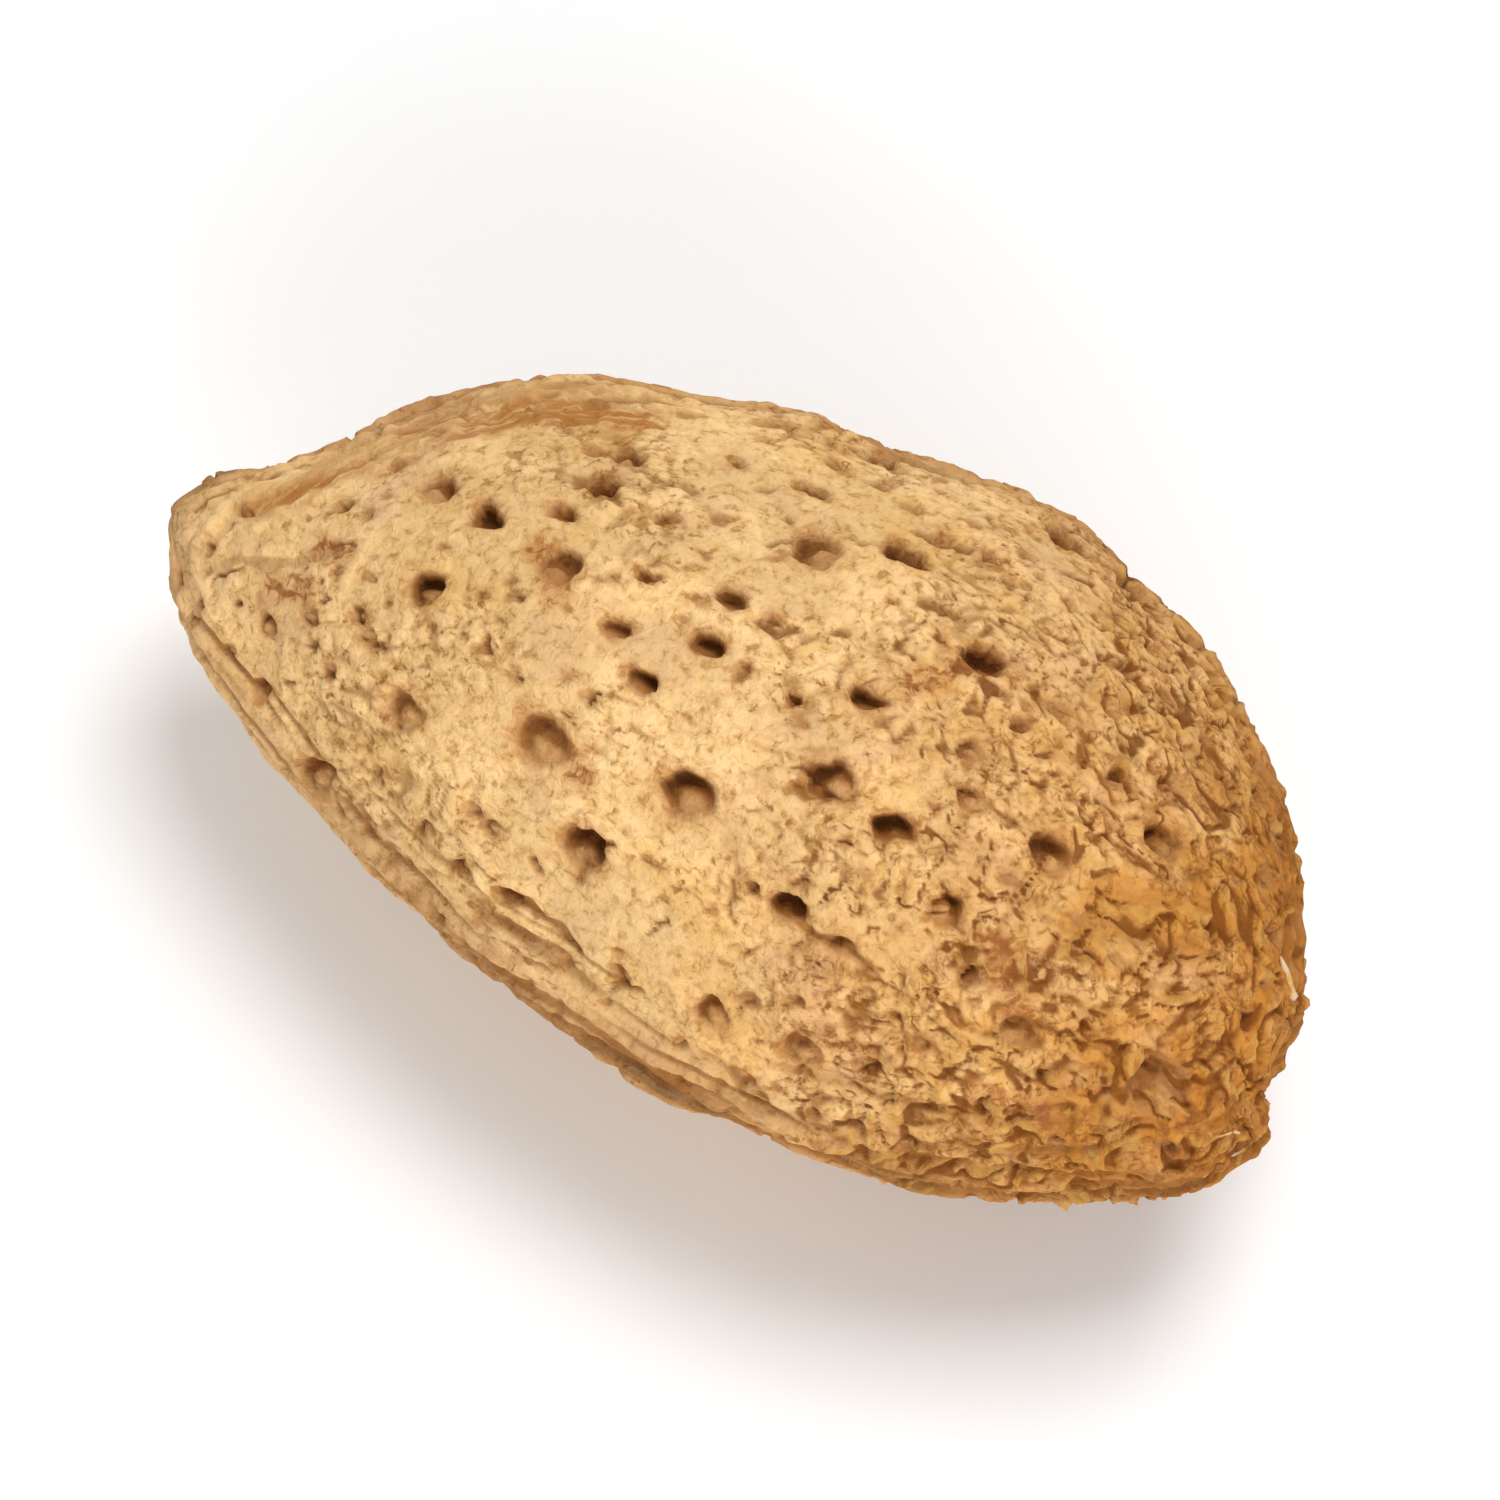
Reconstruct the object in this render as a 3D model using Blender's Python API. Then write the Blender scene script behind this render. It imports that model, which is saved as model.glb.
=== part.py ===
"""An almond in its shell, lying on its broad side: one closed solid, in metres, +Z up.

The tip points to -X and the stem end to +X. The seam between the shell's halves lies about level, so its keel
runs round the nut near half height: along +Y, over the tip, along -Y and over the stem end. The nut rests on
a small flat spot at z = 0, and the origin is the middle of the base of its bounding box.

The form is a ball of unit directions, each moved to its place on a smooth nut and then raised or lowered by
the relief: soft swellings, the keel, the furrows beside it, the stem scar and the pits.
"""

import math
import random

import bmesh
import bpy
import numpy as np
from mathutils import Vector, noise

MM = 0.001

# Driving dimensions
LENGTH = 36.0 * MM  # from the tip to the stem end
WIDTH = 20.3 * MM  # across the seam, keel included
THICKNESS = 15.6 * MM  # from the resting spot to the top
SPOT_DEPTH = 0.22 * MM  # what the resting spot takes off the belly
SPOT_WIDTH_SHARE = 0.62  # its width as a share of its length
SPOT_RIM = (1.8 * MM, 3.4 * MM)  # between these distances from its middle the relief grows in

# Outline and side view, at stations from the tip (0) to the stem end (1). A fullness is the half-width or
# half-thickness there against that of an ellipsoid, and the midline is a share of the length, towards +Y.
STATIONS = (0.0, 0.08, 0.2, 0.35, 0.5, 0.65, 0.8, 0.92, 1.0)
WIDTH_FULLNESS = (0.58, 0.61, 0.77, 0.87, 0.94, 1.02, 1.06, 1.03, 0.92)
THICK_FULLNESS = (0.62, 0.68, 0.84, 0.95, 1.00, 1.03, 1.02, 0.96, 0.90)
MIDLINE = (-0.031, -0.031, -0.008, 0.003, 0.006, 0.014, -0.003, -0.033, -0.078)
TIP_SHARPNESS = 0.34  # how much the section narrows towards the seam, at the tip
END_SHARPNESS = 0.12  # and at the stem end

# Swellings: the size of a swelling and its height
SWELLINGS = ((9.0 * MM, 0.42 * MM), (3.6 * MM, 0.17 * MM), (1.8 * MM, 0.10 * MM))

# The seam, which climbs along the first half of the +Y side and wanders everywhere
SEAM_RISE = 1.5 * MM
SEAM_CLIMBS = (0.03, 0.25)  # the stations between which it climbs
SEAM_SINKS = (0.5, 0.85)  # and those between which it comes down again
SEAM_SIDE = 3 * MM  # from the axis, where the climb has its full height
SEAM_WANDER = 0.35 * MM
WANDER_SIZE = 7 * MM

# The keel along the seam, with a groove along its crest
KEEL_HEIGHT = (0.55 * MM, 0.38 * MM)  # on the +Y and the -Y side
KEEL_SPREAD = 1.15 * MM
KEEL_GROWS = (-0.1, 0.12)  # the stations between which it grows from the tip
KEEL_FALLS = (0.7, 1.0)  # and those between which it falls to KEEL_LEFT of its height
KEEL_LEFT = 0.45
GROOVE_DEPTH = 0.34 * MM
GROOVE_SPREAD = 0.34 * MM
GROOVE_GROWS = (0.02, 0.2)

# Broken furrows that run beside the keel
FURROW_GAP = 1.25 * MM
FURROW_DEPTH = 0.22 * MM
FURROW_BEND = 0.9  # how far they swing, in gaps
FURROW_BEND_SIZE = (10 * MM, 5 * MM, 5 * MM)
FURROW_PIECE_SIZE = (6 * MM, 2.5 * MM, 1.6 * MM)
FURROW_BREAKS = (-0.15, 0.35)  # the noise between which a piece ends
FURROW_STARTS = (0.5 * MM, 1.1 * MM)  # from the seam
FURROW_ENDS = (1.6 * MM, 4.6 * MM)
FURROW_GROWS = (0.26, 0.42)  # the stations between which they grow in on the -Y side
FURROW_SIDE = 2 * MM  # from the axis, where the -Y side counts in full

# The scar where the stem was, set off the axis in the blunt end
SCAR_PLACE = (17.6 * MM, -1.4 * MM, 0.2 * MM)
SCAR_RADIUS = 1.7 * MM
SCAR_FLOOR = 0.25  # share of the radius that is its bottom
SCAR_DEPTH = 0.75 * MM

# Pits. A pit is as deep as PIT_DEPTH_SHARE of its radius, but no deeper than PIT_DEEPEST.
PIT_COUNT = 178
PIT_RADII = (0.36 * MM, 0.82 * MM)
PIT_SPACING = 1.25  # least distance between two pits, in sums of their radii
SEEN_FACE = 0.35  # least cosine between a normal and the view, on the face where those pits lie
SEEN_FACE_LARGEST = 0.38 * MM  # of the random pits between the ones in SEEN_PITS
SEEN_FACE_SPACING = 1.7  # and their least distance from others, in the same sums
PIT_SMALL_SHARE = 1.6  # above 1, more of the random pits are small
PIT_DEPTH_SHARE = 0.95
PIT_DEEPEST = 0.55 * MM
PIT_WALL = (0.4, 1.05)  # shares of the radius between which it falls to its floor
PIT_STRETCH = 1.45  # most length against width
PIT_SLANT = 0.5  # most turn from the nut's axis, in radians
PIT_LEAN = 0.3  # how much deeper one side is
PIT_RAGGED = 0.28  # how far the rim strays, as a share of the radius
RAGGED_SIZE = 0.7 * MM
PIT_CLEAR_OF_SEAM = 1.7 * MM
SPOT_CLEARANCE = 2.6 * MM
SEED = 7

# The pits that show most on the upper face, in millimetres to the right and up from the nut's middle as it is
# seen from VIEW_TURN degrees round and VIEW_TILT degrees up: right, up, radius.
VIEW_TURN, VIEW_TILT = 28.5, 68.0
SEEN_PITS = (
    (-2.6, 9.5, 0.49), (-8.0, 8.7, 0.61), (2.7, 8.7, 0.39), (-3.2, 8.6, 0.46), (-4.5, 8.0, 0.33),
    (-6.6, 7.9, 0.46), (-1.5, 7.7, 0.30), (6.3, 7.3, 0.33), (2.7, 7.0, 0.76), (5.2, 6.8, 0.52),
    (-4.6, 6.3, 0.64), (-8.3, 5.8, 0.61), (0.4, 5.4, 0.33), (-13.2, 4.9, 0.36), (-2.8, 4.7, 0.30),
    (1.6, 4.7, 0.36), (-0.4, 4.2, 0.39), (7.5, 3.8, 0.55), (11.5, 3.8, 0.39), (-2.2, 3.1, 0.39),
    (-13.2, 3.0, 0.36), (4.0, 2.8, 0.39), (-9.0, 2.4, 0.70), (-5.1, 1.6, 0.91), (6.9, 1.2, 0.42),
    (-11.6, 0.6, 0.64), (3.0, 0.5, 0.76), (11.2, 0.5, 0.49), (12.5, 0.4, 0.46), (-0.9, 0.0, 0.82),
    (6.9, -0.2, 0.39), (4.6, -0.9, 0.49), (12.4, -1.3, 0.64), (-4.0, -1.6, 0.73), (9.2, -1.6, 0.70),
    (-6.2, -2.9, 0.42), (1.8, -3.1, 0.46), (6.2, -3.1, 0.55), (3.4, -4.1, 0.39), (-0.4, -6.0, 0.52),
    (8.2, -6.5, 0.55), (2.2, -7.0, 0.58), (12.1, -8.0, 0.94),
)

LAYER_STEP = 17.3  # between two layers of noise, in bumps

# Mesh
BALL_SUBDIVISIONS = 7
TRIANGLES = 11200  # of the finished solid, about


def curve(values, station):
    """The smooth curve through the values at STATIONS."""
    stations = np.array(STATIONS)
    values = np.array(values)
    slopes = np.gradient(values, stations)
    left = np.clip(np.searchsorted(stations, station) - 1, 0, len(stations) - 2)
    gap = stations[left + 1] - stations[left]
    t = (station - stations[left]) / gap
    rise = t * t * (3 - 2 * t)
    leave = t * (1 - t) ** 2 * gap
    arrive = t * t * (t - 1) * gap
    mixed = values[left] * (1 - rise) + values[left + 1] * rise
    return mixed + slopes[left] * leave + slopes[left + 1] * arrive


def smooth_step(low, high, value):
    t = np.clip((value - low) / (high - low), 0, 1)
    return t * t * (3 - 2 * t)


def seam_climb(station):
    """How far the seam lies above half height on the +Y side."""
    return SEAM_RISE * smooth_step(*SEAM_CLIMBS, station) * (1 - smooth_step(*SEAM_SINKS, station))


def smooth_nut(directions):
    """Where each unit direction lies on the nut before its relief."""
    along, across, up = directions.T
    station = (1 + along) / 2
    ring = np.maximum(np.hypot(across, up), 1e-9)
    sharpness = TIP_SHARPNESS + (END_SHARPNESS - TIP_SHARPNESS) * station
    y = LENGTH * curve(MIDLINE, station) + WIDTH / 2 * curve(WIDTH_FULLNESS, station) * across
    z = THICKNESS / 2 * curve(THICK_FULLNESS, station) * up * np.abs(up / ring) ** sharpness
    z += seam_climb(station) * np.clip(across / ring, 0, 1) ** 4
    return np.stack([LENGTH / 2 * along, y, z], axis=1)


def smooth_normals(directions):
    """The outward normals there, from two small steps along the surface."""
    pole = np.where(np.abs(directions[:, 2:]) > 0.7, [[0.0, 1.0, 0.0]], [[0.0, 0.0, 1.0]])
    first = np.cross(directions, pole)
    first /= np.linalg.norm(first, axis=1, keepdims=True)
    second = np.cross(directions, first)

    def slope(step):
        ahead = directions + 0.01 * step
        behind = directions - 0.01 * step
        ahead /= np.linalg.norm(ahead, axis=1, keepdims=True)
        behind /= np.linalg.norm(behind, axis=1, keepdims=True)
        return smooth_nut(ahead) - smooth_nut(behind)

    normals = np.cross(slope(first), slope(second))
    return normals / np.linalg.norm(normals, axis=1, keepdims=True)


def station_of(points):
    return points[:, 0] / LENGTH + 0.5


def noise_at(points, size, layer):
    """Soft noise from -1 to 1 whose bumps are about size across. size may differ by axis."""
    places = points / np.asarray(size) + LAYER_STEP * layer
    return np.array([noise.noise(Vector(place)) for place in places])


def swellings(points):
    height = np.zeros(len(points))
    for index, (size, rise) in enumerate(SWELLINGS):
        height += rise * noise_at(points, size, index + 1)
    return height


def seam_distance(points):
    """How far each point lies above the seam, which wanders a little."""
    wander = noise_at(points * [1, 1, 0], WANDER_SIZE, 3)
    climb = seam_climb(station_of(points)) * smooth_step(0, SEAM_SIDE, points[:, 1])
    return points[:, 2] - climb - SEAM_WANDER * wander


def keel(points, above):
    """A ridge along the seam, with a groove in its crest. It is lowest over the stem end."""
    station = station_of(points)
    high = np.where(points[:, 1] > 0, *KEEL_HEIGHT) * smooth_step(*KEEL_GROWS, station)
    high *= 1 - (1 - KEEL_LEFT) * smooth_step(*KEEL_FALLS, station)
    ridge = high * np.exp(-((above / KEEL_SPREAD) ** 2))
    groove = GROOVE_DEPTH * np.exp(-((above / GROOVE_SPREAD) ** 2))
    return ridge - groove * smooth_step(*GROOVE_GROWS, station)


def furrows(points, above):
    """Broken grooves along the nut, deepest beside the keel."""
    away = np.abs(above)
    phase = away / FURROW_GAP + FURROW_BEND * noise_at(points, FURROW_BEND_SIZE, 4)
    lines = 0.5 - 0.5 * np.cos(2 * math.pi * phase)
    broken = smooth_step(*FURROW_BREAKS, noise_at(points, FURROW_PIECE_SIZE, 5))
    reach = smooth_step(*FURROW_STARTS, away) * (1 - smooth_step(*FURROW_ENDS, away))
    far_side = smooth_step(-FURROW_SIDE, FURROW_SIDE, points[:, 1])
    grown = np.maximum(smooth_step(*FURROW_GROWS, station_of(points)), far_side)
    return -FURROW_DEPTH * lines**2 * broken * reach * grown


def stem_scar(points):
    reach = np.linalg.norm(points - np.array(SCAR_PLACE), axis=1) / SCAR_RADIUS
    return -SCAR_DEPTH * (1 - smooth_step(SCAR_FLOOR, 1, reach))


def spot_centre():
    """The lowest point of the smooth nut: the resting spot's middle."""
    turns = np.linspace(0, math.pi, 400)
    lowest = smooth_nut(np.stack([-np.cos(turns), 0 * turns, -np.sin(turns)], axis=1))
    return lowest[np.argmin(lowest[:, 2])]


def spot_distance(points):
    """Distance from the resting spot's middle, shortened along the nut, as the spot is longer than wide."""
    offset = (points - spot_centre()) * [SPOT_WIDTH_SHARE, 1, 1]
    return np.linalg.norm(offset, axis=1)


def view_axes():
    """Right, up and towards the viewer, as the nut is seen from VIEW_TURN and VIEW_TILT."""
    turn, tilt = math.radians(VIEW_TURN), math.radians(VIEW_TILT)
    right = np.array([math.cos(turn), math.sin(turn), 0])
    to_viewer = np.array([math.sin(turn) * math.cos(tilt), -math.cos(turn) * math.cos(tilt), math.sin(tilt)])
    return right, np.cross(to_viewer, right), to_viewer


def ball_grid():
    """Unit directions all round, about a degree apart."""
    around, out = np.meshgrid(np.linspace(0, 2 * math.pi, 361), np.linspace(0, math.pi, 241))
    ball = np.stack([-np.cos(out), np.sin(out) * np.cos(around), np.sin(out) * np.sin(around)], axis=-1)
    return ball.reshape(-1, 3)


def seen_at(directions, right, up):
    points = smooth_nut(directions)
    return np.stack([points @ right, points @ up], axis=1)


def seen_directions():
    """The directions of SEEN_PITS: for each, the point of the upper half that is seen at its place."""
    right, up, to_viewer = view_axes()
    ball = ball_grid()
    seen = seen_at(ball, right, up)
    middle = (seen.min(axis=0) + seen.max(axis=0)) / 2
    facing = smooth_normals(ball) @ to_viewer > 0
    ball, seen = ball[facing], seen[facing]
    places = np.array([pit[:2] for pit in SEEN_PITS]) * MM + middle
    return [ball[np.argmin(((seen - place) ** 2).sum(axis=1))] for place in places]


def place_pits():
    """(centre, normal, radius) of every pit: those in SEEN_PITS, then others at random with a gap between."""
    draw = random.Random(SEED)
    to_viewer = view_axes()[2]
    directions = seen_directions()
    radii = [pit[2] * MM for pit in SEEN_PITS]
    centres = list(smooth_nut(np.array(directions)))
    while len(radii) < PIT_COUNT:
        along = draw.uniform(-0.98, 0.98)
        angle = draw.uniform(0, 2 * math.pi)
        size = draw.random() ** PIT_SMALL_SHARE
        chance = draw.random()
        ring = math.sqrt(1 - along * along)
        direction = np.array([along, ring * math.cos(angle), ring * math.sin(angle)])
        centre = smooth_nut(direction[None])[0]
        radius = PIT_RADII[0] + (PIT_RADII[1] - PIT_RADII[0]) * size
        spacing = PIT_SPACING
        if smooth_normals(direction[None])[0] @ to_viewer > SEEN_FACE:
            radius = min(radius, SEEN_FACE_LARGEST)
            spacing = SEEN_FACE_SPACING
        gaps = np.linalg.norm(np.array(centres) - centre, axis=1) / (np.array(radii) + radius)
        near_spot = spot_distance(centre[None])[0] < SPOT_CLEARANCE + radius
        near_seam = abs(seam_distance(centre[None])[0]) < PIT_CLEAR_OF_SEAM
        if chance > ring or gaps.min() < spacing or near_spot or near_seam:
            continue
        directions.append(direction)
        radii.append(radius)
        centres.append(centre)
    normals = smooth_normals(np.array(directions))
    return list(zip(centres, normals, radii))


def pits(points):
    """Steep-walled hollows with ragged rims, each deepest to one side of its middle."""
    draw = random.Random(SEED + 1)
    height = np.zeros(len(points))
    ragged = noise_at(points, RAGGED_SIZE, 6)
    for centre, normal, radius in place_pits():
        slant = draw.uniform(-PIT_SLANT, PIT_SLANT)
        stretch = draw.uniform(1, PIT_STRETCH)
        deep_side = draw.uniform(0, 2 * math.pi)
        lengthwise = np.cross([math.sin(slant), -math.cos(slant), 0], normal)
        lengthwise /= np.linalg.norm(lengthwise)
        sideways = np.cross(normal, lengthwise)
        near = np.flatnonzero(np.linalg.norm(points - centre, axis=1) < 2 * PIT_STRETCH * radius)
        offset = points[near] - centre
        u = offset @ lengthwise / (radius * stretch)
        v = offset @ sideways / radius
        away = np.hypot(u, v) * (1 + PIT_RAGGED * ragged[near])
        lean = 1 + PIT_LEAN * (u * math.cos(deep_side) + v * math.sin(deep_side))
        depth = min(PIT_DEPTH_SHARE * radius, PIT_DEEPEST)
        hollow = -depth * (1 - smooth_step(*PIT_WALL, away)) * lean
        height[near] = np.minimum(height[near], hollow)
    return height


def relief(points):
    """How far each point of the smooth nut is raised. The resting spot stays smooth."""
    above = seam_distance(points)
    height = swellings(points) + keel(points, above) + furrows(points, above)
    height += stem_scar(points) + pits(points)
    return height * smooth_step(*SPOT_RIM, spot_distance(points))


def nut_mesh():
    """The nut as a fine closed mesh."""
    ball = bmesh.new()
    bmesh.ops.create_icosphere(ball, subdivisions=BALL_SUBDIVISIONS, radius=1)
    mesh = bpy.data.meshes.new("almond")
    ball.to_mesh(mesh)
    ball.free()
    directions = np.empty(len(mesh.vertices) * 3, np.float32)
    mesh.vertices.foreach_get("co", directions)
    directions = directions.reshape(-1, 3).astype(float)
    directions /= np.linalg.norm(directions, axis=1, keepdims=True)
    points = smooth_nut(directions)
    points += smooth_normals(directions) * relief(points)[:, None]
    mesh.vertices.foreach_set("co", points.astype(np.float32).ravel())
    return mesh


def thin_out(nut):
    """Fewer triangles, most of them where the surface bends most."""
    fewer = nut.modifiers.new("fewer triangles", "DECIMATE")
    fewer.ratio = TRIANGLES / len(nut.data.polygons)
    graph = bpy.context.evaluated_depsgraph_get()
    mesh = bpy.data.meshes.new_from_object(nut.evaluated_get(graph))
    nut.modifiers.clear()
    nut.data = mesh
    mesh.name = "almond"


def set_size(form):
    """Brings the nut to its driving dimensions, with the depth of the resting spot still to come off."""
    points = np.array([vertex.co for vertex in form.verts])
    low, high = points.min(axis=0), points.max(axis=0)
    size = np.array([LENGTH, WIDTH, THICKNESS + SPOT_DEPTH])
    middle = (low + high) / 2
    for vertex, point in zip(form.verts, (points - middle) * size / (high - low)):
        vertex.co = point + [0, 0, size[2] / 2 - SPOT_DEPTH]


def cut_resting_spot(form):
    """Cuts the belly off level at z = 0 and closes the cut with one flat face, in triangles."""
    every = form.verts[:] + form.edges[:] + form.faces[:]
    cut = bmesh.ops.bisect_plane(form, geom=every, dist=1e-6, plane_no=(0, 0, -1), clear_outer=True)
    rim = [item for item in cut["geom_cut"] if isinstance(item, bmesh.types.BMEdge)]
    spot = bmesh.ops.contextual_create(form, geom=rim)["faces"]
    bmesh.ops.triangulate(form, faces=spot)
    bmesh.ops.recalc_face_normals(form, faces=form.faces)


def finish_form(nut):
    form = bmesh.new()
    form.from_mesh(nut.data)
    set_size(form)
    cut_resting_spot(form)
    form.to_mesh(nut.data)
    form.free()
    nut.data.shade_smooth()
    nut.data.set_sharp_from_angle(angle=math.radians(60))


def shell_material():
    """Dry, corky shell: pale tan and matt."""
    material = bpy.data.materials.new("shell")
    material.use_nodes = True
    shader = material.node_tree.nodes["Principled BSDF"]
    shader.inputs["Base Color"].default_value = (0.60, 0.35, 0.15, 1)
    shader.inputs["Roughness"].default_value = 0.85
    shader.inputs["Metallic"].default_value = 0
    return material


def main():
    for obj in list(bpy.data.objects):
        bpy.data.objects.remove(obj)
    nut = bpy.data.objects.new("almond", nut_mesh())
    bpy.context.collection.objects.link(nut)
    thin_out(nut)
    finish_form(nut)
    nut.data.materials.append(shell_material())


main()
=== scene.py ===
"""The almond's finish: a fine mesh of the whole nut, its material, a few frayed fibres, light and camera.

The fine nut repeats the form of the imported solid, brought to the solid's box, and adds low relief: small
pits and sharper large ones, crumbs, creases and flakes of cork, cracks, torn edges at the stem end, folds at
the tip, and fibres, strands and chips along the seam.
"""

import math
import random

import bmesh
import bpy
import numpy as np
from mathutils import Matrix, Vector, noise


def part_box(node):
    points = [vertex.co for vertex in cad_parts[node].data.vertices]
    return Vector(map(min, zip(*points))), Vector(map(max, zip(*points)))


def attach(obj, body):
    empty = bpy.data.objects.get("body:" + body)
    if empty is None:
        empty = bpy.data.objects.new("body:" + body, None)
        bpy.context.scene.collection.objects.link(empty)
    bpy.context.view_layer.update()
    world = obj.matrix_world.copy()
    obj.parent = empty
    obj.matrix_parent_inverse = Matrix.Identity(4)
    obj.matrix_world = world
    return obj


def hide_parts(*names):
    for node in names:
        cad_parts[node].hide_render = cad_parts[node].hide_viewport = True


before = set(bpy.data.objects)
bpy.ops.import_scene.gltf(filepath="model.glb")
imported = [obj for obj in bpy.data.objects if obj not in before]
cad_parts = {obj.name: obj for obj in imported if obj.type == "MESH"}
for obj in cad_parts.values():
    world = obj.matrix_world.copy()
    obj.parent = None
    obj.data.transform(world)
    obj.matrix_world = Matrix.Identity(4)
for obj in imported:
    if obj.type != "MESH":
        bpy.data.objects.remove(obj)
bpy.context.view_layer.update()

MM = 0.001
LOW, HIGH = (np.array(corner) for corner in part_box("almond"))
LENGTH, WIDTH, THICKNESS = HIGH - LOW

# Outline and side view, at stations from the tip (0) to the stem end (1)
STATIONS = (0.0, 0.08, 0.2, 0.35, 0.5, 0.65, 0.8, 0.92, 1.0)
WIDTH_FULLNESS = (0.58, 0.61, 0.77, 0.87, 0.94, 1.02, 1.06, 1.03, 0.92)
THICK_FULLNESS = (0.62, 0.68, 0.84, 0.95, 1.00, 1.03, 1.02, 0.96, 0.90)
MIDLINE = (-0.031, -0.031, -0.008, 0.003, 0.006, 0.014, -0.003, -0.033, -0.078)
TIP_SHARPNESS = 0.34
END_SHARPNESS = 0.12
NORMAL_STEP = 0.01  # along the surface, to find its normals

# The resting spot, in which the relief fades out
SPOT_DEPTH = 0.22 * MM
SPOT_WIDTH_SHARE = 0.62
SPOT_RIM = (1.8 * MM, 3.4 * MM)

# Swellings: the size of a swelling and its height
SWELLINGS = ((9.0 * MM, 0.42 * MM), (3.6 * MM, 0.17 * MM), (1.8 * MM, 0.10 * MM))

# The seam, its keel, and the groove and lips along the crest. The second of two heights is at the -Y edge.
SEAM_RISE = 1.5 * MM
SEAM_CLIMBS = (0.03, 0.25)
SEAM_SINKS = (0.5, 0.85)
SEAM_SIDE = 3 * MM
SEAM_WANDER = 0.35 * MM
WANDER_SIZE = 7 * MM
KEEL_HEIGHT = (0.55 * MM, 0.38 * MM)
KEEL_SPREAD = 1.15 * MM
KEEL_GROWS = (-0.1, 0.12)
KEEL_FALLS = (0.7, 1.0)
KEEL_LEFT = 0.45
GROOVE_DEPTH = 0.36 * MM
GROOVE_SPREAD = 0.24 * MM
GROOVE_GROWS = (0.02, 0.2)
CLOSED_GROOVE = 0.35  # of the groove's depth, where the seam is closed
LIP_HEIGHT = (0.10 * MM, 0.03 * MM)
LIP_PLACE = 0.5 * MM
LIP_SPREAD = 0.16 * MM
CHIP_SIZE = 1.1 * MM
CHIP_MEAN, CHIP_CHANGE = 0.6, 0.8  # what chips leave of a lip's height, and how much that changes
GROOVE_UNCHIPPED = 0.25  # this much more is left of the groove

# How the seam's brown shows
NEAR_SEAM_BROWNS = (0.15, 0.5)  # stations between which it sets in, at the -Y edge
SEAM_FADE_SIDE = 1 * MM
SEAM_BROWN_SPREAD = 0.9 * MM
GROOVE_BROWN_SPREAD = 1.4 * GROOVE_SPREAD
EDGE_REACH = 3.5 * MM  # how far from the seam the cork is browner

# Furrows beside the keel
FURROW_GAP = 1.25 * MM
FURROW_DEPTH = 0.13 * MM
FURROW_BEND = 0.9
FURROW_BEND_SIZE = (10 * MM, 5 * MM, 5 * MM)
FURROW_PIECE_SIZE = (6 * MM, 2.5 * MM, 1.6 * MM)
FURROW_BREAKS = (-0.15, 0.35)
FURROW_STARTS = (0.5 * MM, 1.1 * MM)
FURROW_ENDS = (1.6 * MM, 4.6 * MM)
FURROW_GROWS = (0.26, 0.42)
FURROW_SIDE = 2 * MM

# Fibres that run beside the seam
FIBRE_LENGTH, FIBRE_GAP = 4.5 * MM, 0.42 * MM
FIBRE_WAVE, FIBRE_WAVE_SIZE = 0.5 * MM, 3 * MM
FIBRE_HEIGHT = 0.13 * MM
FIBRE_GAIN = 1.8  # brings soft noise to about -1 to 1
FIBRE_FACES = (3, 7)  # steps of the noise that set the four faces beside the seam apart
FIBRE_REACH = (1.0 * MM, 5.5 * MM)

# The stem scar and the torn surface round it
SCAR_PLACE = (17.6 * MM, -1.4 * MM, 0.2 * MM)
SCAR_RADIUS = 1.7 * MM
SCAR_FLOOR = 0.25
SCAR_DEPTH = 0.75 * MM
TORN_REACH = (2.0 * MM, 6.5 * MM)
TORN_HEIGHT = 0.22 * MM
TORN_SIZE = (0.6 * MM, 2.4 * MM, 1.8 * MM)
END_STEPS = ((0.57, 0.48, 0.90), (0.43, 0.80, 0.97))  # shares of its colour, and where they grow
END_STRAY, END_STRAY_SIZE = 0.08, 3 * MM  # how far, in stations, that strays and over what size

# The tip
TIP_FOLD_GAP, TIP_FOLD_HEIGHT, TIP_FOLD_REACH = 0.85 * MM, 0.05 * MM, (0.05, 0.12)
TIP_FOLD_BEND_SIZE = 2 * MM
TIP_CALM = (0.05, 0.16)
TIP_CLEAR = 0.13  # no pit at random on the seen face nearer to the tip than this station

# Torn flakes of cork
FLAKE_SIZE = (2.6 * MM, 1.9 * MM, 1.9 * MM)
FLAKE_RAGGED, FLAKE_RAGGED_SIZE = 0.3, 0.6 * MM
FLAKE_EDGE = (0.02, 0.10)
FLAKE_HEIGHT = 0.06 * MM

# Crumbs: the size of a crumb, its height and how wide the creases round it are
CRUMBS = ((1.00 * MM, 0.070 * MM, 0.19), (0.50 * MM, 0.045 * MM, 0.26))
ROUGH_SIZE = 3.6 * MM
ROUGH_EDGE = (-0.15, 0.3)
ROUGH_END, ROUGH_END_GROWS = 0.35, (0.55, 0.9)  # how much rougher the stem end is, and between what stations
ROUGH_SHARE = (0.35, 1.0)  # of the crumbs' height, where the shell is smooth and where it is rough

# Torn edges at the stem end: their size, and their width as a share of it
CURLS = ((1.5 * MM, 0.072), (0.9 * MM, 0.110))
CURL_JITTER, CURL_JITTER_SIZE = 0.16, 0.45 * MM
CURL_LIP, CURL_LIP_PLACE = 0.7, 1.9  # the lip's share of the height, and how many widths off it lies
CURL_BREAKS, CURL_PIECE_SHARE = (0.0, 0.14), 0.8
CURL_HEIGHT, CURL_REACH = 0.14 * MM, (0.46, 0.84)
CURL_STRAY, CURL_STRAY_SIZE = 0.10, 4 * MM

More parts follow.
